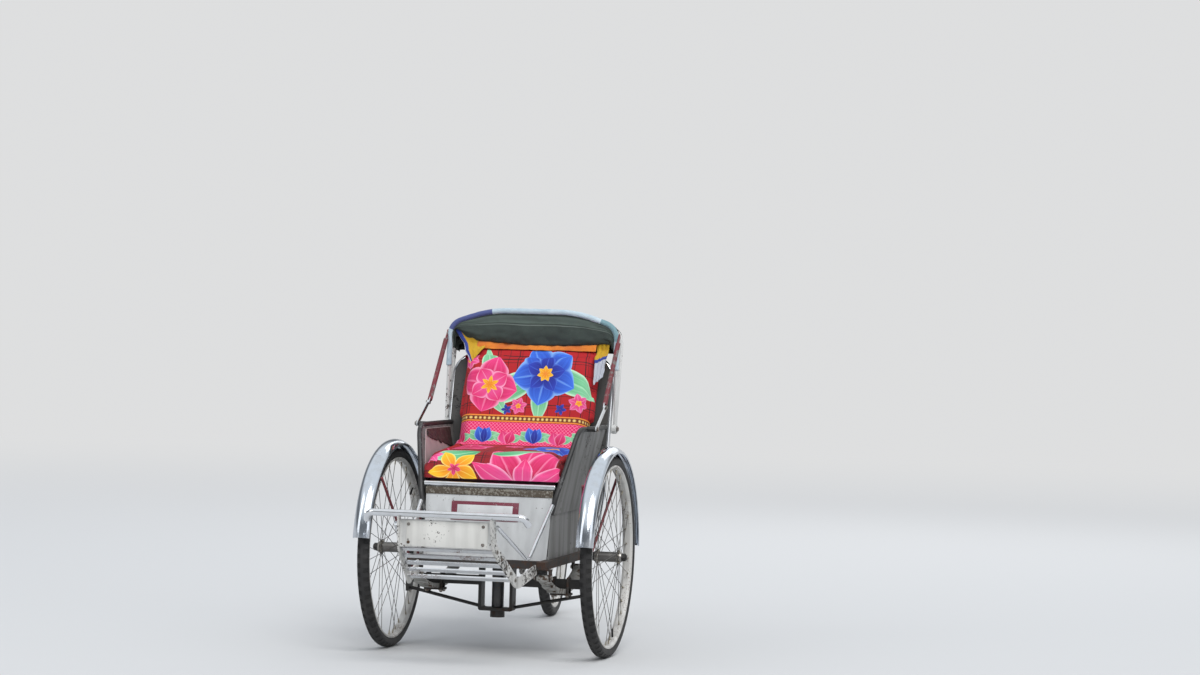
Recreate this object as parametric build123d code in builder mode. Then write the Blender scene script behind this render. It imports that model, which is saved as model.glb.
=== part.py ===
from build123d import *
import os
from math import atan, cos, degrees, radians, sin, sqrt

# Cycle rickshaw: a sprung passenger carriage on two wheels, pinned in front of a pedalled rear frame.
# Millimetres. The front faces -Y, +X is the carriage's left and +Z is up. The ground is at zero.
# Pieces are drawn with the front axle over the origin. The last lines move them all along Y by the
# same amount, so that the origin is under the middle, and turn the rear frame about the kingpin.

os.makedirs("parts", exist_ok=True)

# Clearances
SEAT_GAP = 0.3        # between two pieces that are bolted or laid together
RUNNING_GAP = 0.08    # between a shaft and its bore, on the radius

# Wheels
WHEEL_RADIUS = 330.0
TYRE_WIDTH = 40.0
TYRE_HEIGHT = 30.0
RIM_WIDTH = 32.0
RIM_DEPTH = 11.0
TYRE_SEAT_RADIUS = WHEEL_RADIUS - TYRE_HEIGHT
TYRE_BEAD_WIDTH = 31.0
TYRE_SHOULDER_RADIUS = TYRE_SEAT_RADIUS + 14    # where the tyre is widest
TREAD_WIDTH = 18.0
SPOKES_EACH_WAY = 9   # on each flange, both leading and trailing
SPOKE_RADIUS = 1.0
SPOKE_SWEEP = 65.0    # degrees from a spoke's hole in the flange to its hole in the rim
TRACK = 738.0
WHEELBASE = 1330.0
REST_TURN = 6.2       # degrees by which the rear frame stands turned

# Hubs
FLANGE_RADIUS = 25.0
FLANGE_HOLE_RADIUS = 20.0
FLANGE_THICKNESS = 4.0
SPOKE_STAGGER = 1.5   # from the flange's middle to a spoke's start, either side
FRONT_FLANGE_X = 35.0
FRONT_HUB_HALF = 46.0
HUB_BARREL_RADIUS = 16.5
FRONT_AXLE_RADIUS = 8.0

# Axle and yoke
BEAM_Z = 235.0
BEAM_HEIGHT = 30.0
BEAM_DEPTH = 26.0
UPRIGHT_X = TRACK / 2 - 69
UPRIGHT_THICKNESS = 10.0
UPRIGHT_FOOT_WIDTH = 50.0
UPRIGHT_FOOT_Z = 190.0
UPRIGHT_EYE_RADIUS = 24.0
AXLE_NUT_FLATS = 24.0
AXLE_NUT_LENGTH = 12.0
YOKE_HALF = 58.0
YOKE_WALL = 10.0
YOKE_FRONT = -34.0
YOKE_BACK = 14.0
YOKE_TOP = 290.0
YOKE_BOTTOM = 138.0
KINGPIN_RADIUS = 11.0
KINGPIN_NUT_RADIUS = 24.0
KINGPIN_NUT_HEIGHT = 22.0
KINGPIN_HEAD_HEIGHT = 8.0
TRUSS_RADIUS = 5.5
TRUSS_FOOT_Z = 150.0
TRUSS_HEAD_Z = 200.0

# Springs
SPRING_X = 215.0
LEAF_WIDTH = 40.0
LEAF_THICKNESS = 5.0
LEAF_COUNT = 3
EYE_Y = 250.0
EYE_Z = 272.0
EYE_RADIUS = 11.0
EYE_PIN_RADIUS = 5.7
HANGER_WALL = 4.5
U_BOLT_RADIUS = 4.0
CLAMP_PLATE = 6.0

# Body of the carriage
RAIL_Z = 300.0        # underside of the body rails
RAIL_HEIGHT = 25.0
RAIL_WIDTH = 30.0
RAIL_FRONT = -285.0
RAIL_BACK = 330.0
BAR_RADIUS = 9.0      # chrome bar along the seat's front edge
BAR_Y = -140.0
BAR_Z = 556.0
BAR_HALF = 221.0
PANEL_LEAN = 0.183    # forward run of the front panel for each unit down
PANEL_THICKNESS = 3.0
PANEL_FOOT_HALF = 206.0
BOX_HALF = 213.0
BOX_BACK = 300.0
BOX_WALL = 4.0
BOARD_TOP = 545.0     # top of the seat board
TUB_FOOT = 470.0      # lower edge of the side panels
TUB_FLARE = 0.2056    # outward run of a side panel for each unit up
TUB_TOP = 735.0
SIDE_THICKNESS = 4.0
TRIM_RADIUS = 8.0
KNOB_Y = 49.0
KNOB_X = 304.2

# Seat back, push bar and hood
BACK_LEAN = 0.238     # backward run of the seat back for each unit up
BACK_KNEE = (339.0, 665.0)
HOOP_RADIUS = 11.0
HOOP_HALF = 276.0
HOOP_TOP = 970.0
HOOP_BEND = 70.0
CROSS_TUBE_Z = 800.0
BACK_SHEET = 3.0
PUSH_Y = 505.0
PUSH_Z = 930.0
PUSH_HALF = 250.0
PUSH_RADIUS = 11.0
PUSH_BRACKET_X = 180.0
PUSH_ARM_RADIUS = 8.0
GRIP_RADIUS = 10.5    # seat of the hand grip at each end of the push bar
GRIP_LENGTH = 60.0
PIVOT_Y = 368.0
PIVOT_Z = 735.0
BOW_RADIUS = 6.0
BOW_LEANS = (1.0, 8.5, 16.0)
BOW_FOOT_HALF = HOOP_HALF + HOOP_RADIUS + BOW_RADIUS + 4
BOW_SHOULDER_HALF = HOOP_HALF + HOOP_RADIUS + BOW_RADIUS
BOW_SHOULDER = 345.0  # from the pivot line up to the corner of the arch
BOW_CROWN_HALF = 150.0
BOW_CROWN = 390.0
BOW_BEND = 62.0
CANVAS_DEPTH = 118.0  # from the arch down to the canvas's lower edge
PIVOT_BOSS_RADIUS = 16.0
STAY_JOINT = (172.0, 812.0)
STAY_HEAD_DROP = 30.0     # from the bow's shoulder down to the long link's head
LINK_WIDTH = 16.0
LINK_THICKNESS = 4.0

# Cushions
BACK_PAD_LOW = 112.0      # from the hoop's middle to the cushion's front, at the bottom
BACK_PAD_HIGH = 52.0
SEAT_FRONT_HEIGHT = 96.0
SEAT_BACK_HEIGHT = 142.0
CUSHION_OVERHANG = 10.0   # past the seat box, each side
CUSHION_BROW = 38.0       # rounding of the seat cushion's front edge
CUSHION_GAP = 2.0

# Footrest and bumper
RAMP_TOP = (-653.0, 480.0)
RAMP_KNEE = (-634.0, 386.0)
RAMP_FOOT = (-436.0, 264.0)
RAMP_END = (-275.0, 300.0)
RAMP_DEPTH = 34.0
RAMP_PLATE = 6.0
RAMP_HALF = 148.0     # from the middle to a side plate's inner face, at the top
RAMP_SPLAY = 0.12
SLAT_COUNT = 5
SLAT_WIDTH = 20.0
SLAT_THICKNESS = 5.0
BOARD_Y = -645.5      # front face of the front board
BOARD_LOW = 384.0
BOARD_HIGH = 470.0
BOARD_HOLE_X = 120.0
BOARD_HOLE_Z = 28.0
BOARD_HOLE_RADIUS = 3.2
BUMPER_RADIUS = 11.0
BUMPER_Y = -654.0
BUMPER_Z = 488.0
BUMPER_CORNER = 250.0
BUMPER_TURN = 24.0    # how far the bumper's ends turn back and down
BRACE_RADIUS = 6.5
BRACE_HEAD = (-640.0, 455.0)
BRACE_KNEE = (205.0, -410.0, 338.0)
BRACE_FOOT = (221.0, 500.0)
BRACE_BEND = 45.0

# Mudguards
GUARD_RADIUS = WHEEL_RADIUS + 31
GUARD_WIDTH = 56.0
GUARD_CROWN = 14.0
GUARD_LIP = 8.0
GUARD_SHEET = 2.0
GUARD_FRONT_ANGLE = 8.5
GUARD_BACK_ANGLE = 177.5
STAY_RADIUS = 4.5
STAY_ANGLE = 45.0
STAY_FOOT_INSET = 16.0    # from the uprights in to the stays' feet on the beam

# Rear frame
HEAD_RADIUS = 20.0
BACKBONE_RADIUS = 19.0
BACKBONE_Z = 250.0
CHAIN_STAY_RUN = 470.0
BRACKET_Y = WHEELBASE - CHAIN_STAY_RUN    # bottom bracket
BRACKET_Z = 280.0
BRACKET_RADIUS = 20.0
BRACKET_HALF = 34.0
SPINDLE_RADIUS = 8.5
SEAT_TUBE_RADIUS = 16.0
SEAT_TUBE_LEAN = 0.3077
SEAT_TUBE_TOP = 800.0
CLUSTER_Z = 765.0
POST_RADIUS = 12.5
POST_TOP = 905.0
POST_INSERT = 120.0   # of the post inside the seat tube
SADDLE_TOP = 985.0
SADDLE_DEPTH = 45.0
SADDLE_HALF_WIDTH = 105.0
SADDLE_HALF_LENGTH = 75.0
SADDLE_NOSE_RADIUS = 26.0
SADDLE_NOSE_REACH = 110.0     # from the post forward to the nose's middle
SADDLE_BACK_REACH = 70.0
SADDLE_SPRING_X = 55.0
SADDLE_SPRING_RADIUS = 14.0
REAR_STAY_RADIUS = 8.0
DROPOUT_X = 78.0
DROPOUT_WALL = 7.0
DROPOUT_RADIUS = 18.0
REAR_AXLE_RADIUS = 5.0
REAR_HUB_HALF = 56.0
REAR_FLANGE_X = 33.0
REAR_GUARD_FRONT = -14.0
REAR_GUARD_BACK = 156.0

# Brake: a drum on the rear hub, pulled by a rod from the loop under the saddle
DRUM_RADIUS = 42.0
DRUM_WIDTH = 15.0
BRAKE_PLATE = 2.6
BRAKE_ARM = 66.0      # from the axle to the rod's pin
BRAKE_ARM_ANGLE = 25.0
BRAKE_CAM = 26.0
BRAKE_ROD_RADIUS = 3.0
BRAKE_EYE_RADIUS = 7.0
LEVER_RADIUS = 5.0
LEVER_PIN_RADIUS = 6.0
LEVER_Z = 600.0
LEVER_RISE = 190.0     # from the pivot up to the loop's top
LEVER_REACH = 53.0     # from the pivot forward to the loop's top
LEVER_FOOT_HALF = 24.0
LEVER_TOP_HALF = 46.0
LEVER_BEND = 22.0
LEVER_TAIL = 40.0

# Chain drive
PITCH = 12.7
RING_TEETH = 44
SPROCKET_TEETH = 20
CHAIN_X = -46.0
CHAIN_WIDTH = 8.0
CHAIN_HEIGHT = 8.0
CHAIN_GAP = 0.7       # from a tooth's tip to the inside of the chain
LINK_GAP = 0.3        # at each end of a link, along the chain
CRANK_LENGTH = 165.0
CRANK_INNER = 58.0
CRANK_THICKNESS = 14.0
PEDAL_LENGTH = 92.0
PEDAL_DEPTH = 62.0
PEDAL_HEIGHT = 26.0

finished = []         # each finished piece, with whether it belongs to the turned rear frame


def keep(piece, name, turned=False):
    """Name a finished piece and hold it for the last lines of the file."""
    piece.label = name
    finished.append((piece, turned))


def rod(start, end, radius, mode=Mode.ADD):
    """A straight round bar in the part that is being built."""
    start, end = Vector(*start), Vector(*end)
    with Locations(Plane(origin=start, z_dir=end - start)):
        Cylinder(radius, (end - start).length, align=(Align.CENTER, Align.CENTER, Align.MIN), mode=mode)


def bent_bar(points, bend, radius):
    """A round bar along straight runs joined by arcs, in the part that is being built."""
    with BuildLine() as route:
        FilletPolyline(*points, radius=bend)
    with BuildSketch(Plane(origin=route.line @ 0, z_dir=route.line % 0)) as section:
        Circle(radius)
    sweep(section.sketch, path=route.line)


def on_x(x, radius, length, y=0.0, z=0.0, mode=Mode.ADD):
    """A cylinder along X from x towards the outside, in the part that is being built."""
    rod((x, y, z), (x + length, y, z), radius, mode)


def back_y(z):
    """Where the seat back's middle plane lies at a height."""
    return BACK_KNEE[0] + (z - BACK_KNEE[1]) * BACK_LEAN


def panel_y(z):
    """Where the front panel's front face lies at a height."""
    return BAR_Y - (BAR_Z - z) * PANEL_LEAN


# Wheel pieces, drawn about the origin with the axle along X

RIM_OUTER = TYRE_SEAT_RADIUS - SEAT_GAP
RIM_INNER = TYRE_SEAT_RADIUS - RIM_DEPTH

with BuildPart() as tyre:
    with BuildSketch(Plane.XZ):
        with BuildLine():
            Polyline(
                (TYRE_BEAD_WIDTH / 2, TYRE_SEAT_RADIUS),
                (TYRE_WIDTH / 2, TYRE_SHOULDER_RADIUS),
                (TREAD_WIDTH / 2, WHEEL_RADIUS),
                (-TREAD_WIDTH / 2, WHEEL_RADIUS),
                (-TYRE_WIDTH / 2, TYRE_SHOULDER_RADIUS),
                (-TYRE_BEAD_WIDTH / 2, TYRE_SEAT_RADIUS),
                close=True,
            )
        make_face()
    revolve(axis=Axis.X)

with BuildPart() as rim:
    with BuildSketch(Plane.XZ):
        with BuildLine():
            Polyline(
                (-RIM_WIDTH / 2, RIM_OUTER),
                (RIM_WIDTH / 2, RIM_OUTER),
                (RIM_WIDTH / 2, RIM_OUTER - RIM_DEPTH / 2),
                (RIM_WIDTH / 4, RIM_INNER),
                (-RIM_WIDTH / 4, RIM_INNER),
                (-RIM_WIDTH / 2, RIM_OUTER - RIM_DEPTH / 2),
                close=True,
            )
        make_face()
    revolve(axis=Axis.X)


def add_spokes(flange_x, side, way):
    """The spokes of one flange that lead or trail, in the hub that is being built."""
    planes = []
    step = 360 / SPOKES_EACH_WAY
    for number in range(SPOKES_EACH_WAY):
        hole = radians(step * number + (step / 2 if side * way < 0 else 0))
        nipple = hole + radians(way * SPOKE_SWEEP)
        reach = RIM_INNER - SEAT_GAP
        start = Vector(
            side * flange_x + way * SPOKE_STAGGER,
            FLANGE_HOLE_RADIUS * cos(hole),
            FLANGE_HOLE_RADIUS * sin(hole),
        )
        end = Vector(
            side * RIM_WIDTH / 8 + way * SPOKE_STAGGER * 0.8,
            reach * cos(nipple),
            reach * sin(nipple),
        )
        planes.append(Plane(origin=start, z_dir=end - start))
        length = (end - start).length
    with Locations(*planes):
        Cylinder(SPOKE_RADIUS, length, align=(Align.CENTER, Align.CENTER, Align.MIN))


def spoked_hub(profile, flange_x):
    """A hub turned from its outline, fused with the spokes that it carries."""
    with BuildPart() as hub:
        with BuildSketch(Plane.XZ):
            with BuildLine():
                Polyline(*profile, close=True)
            make_face()
        revolve(axis=Axis.X)
        for side in (1, -1):
            for way in (1, -1):
                add_spokes(flange_x, side, way)
    return hub.part


def hub_outline(half, bore, flange_x):
    """A hub's half section as distances along X and out from the axle."""
    near = flange_x - FLANGE_THICKNESS / 2
    far = flange_x + FLANGE_THICKNESS / 2
    right = [
        (half, bore),
        (half, HUB_BARREL_RADIUS - 3),
        (far + 4, HUB_BARREL_RADIUS - 3),
        (far, HUB_BARREL_RADIUS),
        (far, FLANGE_RADIUS),
        (near, FLANGE_RADIUS),
        (near, HUB_BARREL_RADIUS),
    ]
    left = [(-x, radius) for x, radius in reversed(right)]
    return right + left


front_outline = hub_outline(FRONT_HUB_HALF, FRONT_AXLE_RADIUS + RUNNING_GAP, FRONT_FLANGE_X)
front_hub = spoked_hub(front_outline, FRONT_FLANGE_X)

for side, name in ((1, "left"), (-1, "right")):
    spot = Location((side * TRACK / 2, 0, WHEEL_RADIUS))
    for part, piece in (("tyre", tyre.part), ("rim", rim.part), ("spoked_hub", front_hub)):
        keep(piece.moved(spot), f"front_{part}_{name}")

# Axle beam: on each side a dropped bar, its upright and the stub that carries the wheel

HUB_INNER_X = TRACK / 2 - FRONT_HUB_HALF
HUB_OUTER_X = TRACK / 2 + FRONT_HUB_HALF
SIDE_PLAY = 1.0       # along the stub, each side of the hub

with BuildPart() as axle_beam:
    length = UPRIGHT_X - YOKE_HALF - SEAT_GAP
    with Locations((YOKE_HALF + SEAT_GAP, 0, BEAM_Z)):
        Box(length, BEAM_DEPTH, BEAM_HEIGHT, align=(Align.MIN, Align.CENTER, Align.CENTER))
    with BuildSketch(Plane.YZ.offset(UPRIGHT_X)):
        with Locations((0, WHEEL_RADIUS)):
            Circle(UPRIGHT_EYE_RADIUS)
        with Locations((0, UPRIGHT_FOOT_Z)):
            Rectangle(UPRIGHT_FOOT_WIDTH, BEAM_HEIGHT, align=(Align.CENTER, Align.MIN))
        make_hull()
    extrude(amount=UPRIGHT_THICKNESS)
    on_x(UPRIGHT_X, FRONT_AXLE_RADIUS + 6, HUB_INNER_X - SIDE_PLAY - UPRIGHT_X, z=WHEEL_RADIUS)
    on_x(UPRIGHT_X, FRONT_AXLE_RADIUS, HUB_OUTER_X + SIDE_PLAY + AXLE_NUT_LENGTH + 4 - UPRIGHT_X, z=WHEEL_RADIUS)
    with BuildSketch(Plane.YZ.offset(HUB_OUTER_X + SIDE_PLAY)):
        with Locations((0, WHEEL_RADIUS)):
            RegularPolygon(AXLE_NUT_FLATS / 2, 6, major_radius=False)
    extrude(amount=AXLE_NUT_LENGTH)
    mirror(about=Plane.YZ)
keep(axle_beam.part, "axle_beam")

# Yoke: a frame of plates round the head of the rear frame, open to the front and back

with BuildPart() as yoke:
    depth = YOKE_BACK - YOKE_FRONT
    with BuildSketch(Plane.XZ.offset(-YOKE_BACK)):
        with Locations((0, (YOKE_TOP + YOKE_BOTTOM) / 2)):
            RectangleRounded(2 * YOKE_HALF, YOKE_TOP - YOKE_BOTTOM, 8)
            RectangleRounded(
                2 * (YOKE_HALF - YOKE_WALL), YOKE_TOP - YOKE_BOTTOM - 2 * YOKE_WALL, 6, mode=Mode.SUBTRACT
            )
    extrude(amount=depth)
    rod((0, 0, 0), (0, 0, WHEEL_RADIUS), KINGPIN_RADIUS + SEAT_GAP, Mode.SUBTRACT)
keep(yoke.part, "yoke")

with BuildPart() as kingpin:
    nut_top = YOKE_BOTTOM - SEAT_GAP
    rod((0, 0, nut_top - KINGPIN_NUT_HEIGHT), (0, 0, nut_top), KINGPIN_NUT_RADIUS)
    rod((0, 0, nut_top), (0, 0, YOKE_TOP + SEAT_GAP), KINGPIN_RADIUS)
    rod((0, 0, YOKE_TOP + SEAT_GAP), (0, 0, YOKE_TOP + SEAT_GAP + KINGPIN_HEAD_HEIGHT), KINGPIN_RADIUS + 7)
keep(kingpin.part, "kingpin")

with BuildPart() as truss_rods:
    inset = SEAT_GAP + TRUSS_RADIUS * (TRUSS_HEAD_Z - TRUSS_FOOT_Z) / (UPRIGHT_X - YOKE_HALF)
    foot = (YOKE_HALF + inset, 0, TRUSS_FOOT_Z)
    head = (UPRIGHT_X - inset, 0, TRUSS_HEAD_Z)
    rod(foot, head, TRUSS_RADIUS)
    mirror(about=Plane.YZ)
keep(truss_rods.part, "truss_rods")

# Leaf springs under the beam, curved up to an eye at each end

SPRING_TOP = BEAM_Z - BEAM_HEIGHT / 2 - SEAT_GAP
SAG = EYE_Z - SPRING_TOP
LEAF_ARC = (EYE_Y**2 + SAG**2) / (2 * SAG)    # radius of the main leaf's upper face
ARC_Z = SPRING_TOP + LEAF_ARC
MAIN_ANGLE = degrees(atan(EYE_Y / (ARC_Z - EYE_Z)))

with BuildPart() as leaf_spring:
    with BuildSketch(Plane.YZ.offset(SPRING_X)):
        for leaf in range(LEAF_COUNT):
            swing = MAIN_ANGLE * (1 - 0.27 * leaf)
            with BuildLine():
                upper = CenterArc((0, ARC_Z), LEAF_ARC + leaf * LEAF_THICKNESS, 270 - swing, 2 * swing)
                lower = CenterArc((0, ARC_Z), LEAF_ARC + (leaf + 1) * LEAF_THICKNESS, 270 - swing, 2 * swing)
                Line(upper @ 0, lower @ 0)
                Line(upper @ 1, lower @ 1)
            make_face()
        with Locations((-EYE_Y, EYE_Z), (EYE_Y, EYE_Z)):
            Circle(EYE_RADIUS)
            Circle(EYE_PIN_RADIUS + SEAT_GAP, mode=Mode.SUBTRACT)
    extrude(amount=LEAF_WIDTH / 2, both=True)
    mirror(about=Plane.YZ)
keep(leaf_spring.part, "leaf_springs")

# Spring fittings: the U-bolts with their plates, and the hangers with the pins through the eyes

with BuildPart() as fittings:
    plate_top = SPRING_TOP - LEAF_COUNT * LEAF_THICKNESS - SEAT_GAP
    bolt_x = LEAF_WIDTH / 2 + SEAT_GAP + U_BOLT_RADIUS
    bolt_y = BEAM_DEPTH / 2 + SEAT_GAP + U_BOLT_RADIUS
    bolt_top = BEAM_Z + BEAM_HEIGHT / 2 + SEAT_GAP + U_BOLT_RADIUS
    with Locations((SPRING_X, 0, plate_top)):
        Box(
            2 * bolt_x + 4 * U_BOLT_RADIUS,
            2 * bolt_y + 4 * U_BOLT_RADIUS,
            CLAMP_PLATE,
            align=(Align.CENTER, Align.CENTER, Align.MAX),
        )
    for x in (SPRING_X - bolt_x, SPRING_X + bolt_x):
        foot_z = plate_top - CLAMP_PLATE - 2 * U_BOLT_RADIUS
        loop = [(x, -bolt_y, foot_z), (x, -bolt_y, bolt_top), (x, bolt_y, bolt_top), (x, bolt_y, foot_z)]
        bent_bar(loop, U_BOLT_RADIUS + 0.6, U_BOLT_RADIUS)
    cheek_in = LEAF_WIDTH / 2 + SEAT_GAP
    for y in (-EYE_Y, EYE_Y):
        for inner in (-cheek_in - HANGER_WALL, cheek_in):
            with BuildSketch(Plane.YZ.offset(SPRING_X + inner)) as cheek:
                with Locations((y, EYE_Z)):
                    Circle(EYE_RADIUS + 1)
                with Locations((y, RAIL_Z)):
                    Rectangle(2 * EYE_RADIUS + 12, HANGER_WALL, align=(Align.CENTER, Align.MAX))
                make_hull()
            extrude(amount=HANGER_WALL)
        with Locations((SPRING_X, y, RAIL_Z)):
            Box(
                2 * (cheek_in + HANGER_WALL),
                2 * EYE_RADIUS + 12,
                HANGER_WALL,
                align=(Align.CENTER, Align.CENTER, Align.MAX),
            )
        on_x(SPRING_X - cheek_in, EYE_PIN_RADIUS, 2 * cheek_in, y=y, z=EYE_Z)
    mirror(about=Plane.YZ)
keep(fittings.part, "spring_fittings")

# Body rails with the cross members between them

with BuildPart() as body_rails:
    with Locations((SPRING_X, RAIL_FRONT, RAIL_Z)):
        Box(RAIL_WIDTH, RAIL_BACK - RAIL_FRONT, RAIL_HEIGHT, align=(Align.CENTER, Align.MIN, Align.MIN))
    mirror(about=Plane.YZ)
    for y in (-EYE_Y, -EYE_Y / 2, EYE_Y):
        with Locations((0, y, RAIL_Z)):
            Box(
                2 * SPRING_X - RAIL_WIDTH - 2 * SEAT_GAP,
                RAIL_HEIGHT,
                RAIL_HEIGHT,
                align=(Align.CENTER, Align.CENTER, Align.MIN),
            )
keep(body_rails.part, "body_rails")

# Seat box: sides, back and the board under the cushion, closed in front by the front panel

BOX_FOOT = RAIL_Z + RAIL_HEIGHT

with BuildPart() as seat_box:
    behind = PANEL_THICKNESS + SEAT_GAP
    with BuildSketch(Plane.YZ):
        with BuildLine():
            Polyline(
                (panel_y(BOX_FOOT) + behind, BOX_FOOT),
                (panel_y(BOARD_TOP) + behind, BOARD_TOP),
                (BOX_BACK, BOARD_TOP),
                (BOX_BACK, BOX_FOOT),
                close=True,
            )
        make_face()
    extrude(amount=BOX_HALF, both=True)
    with BuildSketch(Plane.YZ):
        with BuildLine():
            Polyline(
                (panel_y(BOX_FOOT) - behind, BOX_FOOT),
                (panel_y(BOX_FOOT) - behind, BOARD_TOP - BOX_WALL),
                (BOX_BACK - BOX_WALL, BOARD_TOP - BOX_WALL),
                (BOX_BACK - BOX_WALL, BOX_FOOT),
                close=True,
            )
        make_face()
    extrude(amount=BOX_HALF - BOX_WALL, both=True, mode=Mode.SUBTRACT)
keep(seat_box.part, "seat_box")

with BuildPart() as front_panel:
    panel_top = BAR_Z - BAR_RADIUS - SEAT_GAP
    face = Plane(origin=(0, panel_y(RAIL_Z), RAIL_Z), x_dir=(1, 0, 0), z_dir=(0, -1, PANEL_LEAN))
    rise = (panel_top - RAIL_Z) * sqrt(1 + PANEL_LEAN**2)
    with BuildSketch(face):
        with BuildLine():
            step = (BOX_FOOT + SEAT_GAP + PANEL_THICKNESS * PANEL_LEAN - RAIL_Z) * sqrt(1 + PANEL_LEAN**2)
            foot_half = SPRING_X - RAIL_WIDTH / 2 - SEAT_GAP
            Polyline(
                (-foot_half, 0),
                (foot_half, 0),
                (foot_half, step),
                (PANEL_FOOT_HALF, step),
                (BOX_HALF, rise),
                (-BOX_HALF, rise),
                (-PANEL_FOOT_HALF, step),
                (-foot_half, step),
                close=True,
            )
        make_face()
    extrude(amount=-PANEL_THICKNESS)
keep(front_panel.part, "front_panel")

with BuildPart() as seat_bar:
    rod((-BAR_HALF, BAR_Y, BAR_Z), (BAR_HALF, BAR_Y, BAR_Z), BAR_RADIUS)
    fillet(seat_bar.edges().filter_by(GeomType.CIRCLE), 2.5)
keep(seat_bar.part, "seat_bar")

# Side panels: flared sheets with a cut-away front, edged with a tube that also makes the arm rest

FLARE_ANGLE = atan(TUB_FLARE)
TUB_RISE = (TUB_TOP - TUB_FOOT) / cos(FLARE_ANGLE)
tub_plane = Plane(
    origin=(BOX_HALF + SEAT_GAP, 0, TUB_FOOT), x_dir=(0, 1, 0), z_dir=(cos(FLARE_ANGLE), 0, -sin(FLARE_ANGLE))
)
# From the hoop's middle plane forward to what meets the sheet in front of it
BACK_FACE = (HOOP_RADIUS + SEAT_GAP + BACK_SHEET + SEAT_GAP) * sqrt(1 + BACK_LEAN**2)
TUB_FRONT = panel_y(TUB_FOOT)
KNEE = (TUB_FRONT + 9, 55.0)          # where the front edge starts to lean back
BROW = (TUB_FRONT + 112, TUB_RISE)    # the sharp corner that the brow's arc rounds

with BuildPart() as side_panels:
    with BuildSketch(tub_plane):
        with BuildLine():
            FilletPolyline(
                (TUB_FRONT, 0),
                KNEE,
                BROW,
                (back_y(TUB_TOP) - BACK_FACE, TUB_RISE),
                radius=(60.0, 70.0),
            )
            Polyline((back_y(TUB_TOP) - BACK_FACE, TUB_RISE), (back_y(TUB_FOOT) - BACK_FACE, 0), (TUB_FRONT, 0))
        make_face()
    extrude(amount=SIDE_THICKNESS)
    mirror(about=Plane.YZ)
keep(side_panels.part, "side_panels")

TRIM_OFFSET = TRIM_RADIUS + SEAT_GAP
sheet_middle = tub_plane.offset(SIDE_THICKNESS / 2)
KNOB = sheet_middle.from_local_coords((KNOB_Y, TUB_RISE + TRIM_OFFSET, 0))

with BuildPart() as arm_rails:
    route = [
        (TUB_FRONT - TRIM_OFFSET, 0),
        (KNEE[0] - TRIM_OFFSET, KNEE[1] + 2),
        (BROW[0] - TRIM_OFFSET * 0.6, BROW[1] + TRIM_OFFSET),
        (back_y(TUB_TOP) - BACK_FACE - TRIM_RADIUS * BACK_LEAN, TUB_RISE + TRIM_OFFSET),
    ]
    bent_bar([sheet_middle.from_local_coords((y, rise, 0)) for y, rise in route], (60.0, 70.0), TRIM_RADIUS)
    rod((KNOB.X, KNOB_Y, KNOB.Z), (KNOB_X, KNOB_Y, KNOB.Z), TRIM_RADIUS)
    mirror(about=Plane.YZ)
keep(arm_rails.part, "arm_rails")

# Seat back: an upright hoop from the body rails, its sheet, and the push bar behind it

RAIL_OUTER = SPRING_X + RAIL_WIDTH / 2
HOOP_FOOT_Z = RAIL_Z + RAIL_HEIGHT / 2

with BuildPart() as back_hoop:
    foot_x = RAIL_OUTER + SEAT_GAP + HOOP_RADIUS
    knee_z = TUB_FOOT + 50
    route = [
        (foot_x, back_y(HOOP_FOOT_Z), HOOP_FOOT_Z),
        (HOOP_HALF, back_y(knee_z), knee_z),
        (HOOP_HALF, back_y(HOOP_TOP), HOOP_TOP),
        (-HOOP_HALF, back_y(HOOP_TOP), HOOP_TOP),
        (-HOOP_HALF, back_y(knee_z), knee_z),
        (-foot_x, back_y(HOOP_FOOT_Z), HOOP_FOOT_Z),
    ]
    bent_bar(route, HOOP_BEND, HOOP_RADIUS)
    cross_y = back_y(CROSS_TUBE_Z)
    cross_half = HOOP_HALF - HOOP_RADIUS / 2
    rod((-cross_half, cross_y, CROSS_TUBE_Z), (cross_half, cross_y, CROSS_TUBE_Z), BAR_RADIUS)
keep(back_hoop.part, "back_hoop")

with BuildPart() as back_sheet:
    sheet_low = BOARD_TOP + 15
    lean = Plane(origin=(0, back_y(sheet_low), sheet_low), x_dir=(1, 0, 0), z_dir=(0, -1, BACK_LEAN))
    lean = lean.offset(HOOP_RADIUS + SEAT_GAP)
    sheet_rise = (HOOP_TOP - sheet_low) * sqrt(1 + BACK_LEAN**2)
    with BuildSketch(lean):
        with Locations((0, 0)):
            Rectangle(2 * HOOP_HALF, sheet_rise, align=(Align.CENTER, Align.MIN))
        fillet(vertices().group_by(Axis.Y)[-1], HOOP_BEND)
    extrude(amount=BACK_SHEET)
keep(back_sheet.part, "back_sheet")

with BuildPart() as push_bar:
    rod((-PUSH_HALF, PUSH_Y, PUSH_Z), (PUSH_HALF, PUSH_Y, PUSH_Z), GRIP_RADIUS)
    grip_x = PUSH_HALF - GRIP_LENGTH
    rod((-grip_x, PUSH_Y, PUSH_Z), (grip_x, PUSH_Y, PUSH_Z), PUSH_RADIUS)
    for x in (-PUSH_BRACKET_X, PUSH_BRACKET_X):
        rod((x, cross_y, CROSS_TUBE_Z), (x, PUSH_Y, PUSH_Z), PUSH_ARM_RADIUS)
    rod(
        (-PUSH_HALF, cross_y, CROSS_TUBE_Z),
        (PUSH_HALF, cross_y, CROSS_TUBE_Z),
        BAR_RADIUS + SEAT_GAP,
        Mode.SUBTRACT,
    )
keep(push_bar.part, "push_bar")

# Hood, folded upright: three bows on one pair of pivots, and the canvas gathered between them

pivot_line = Axis((0, PIVOT_Y, PIVOT_Z), (-1, 0, 0))


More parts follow.
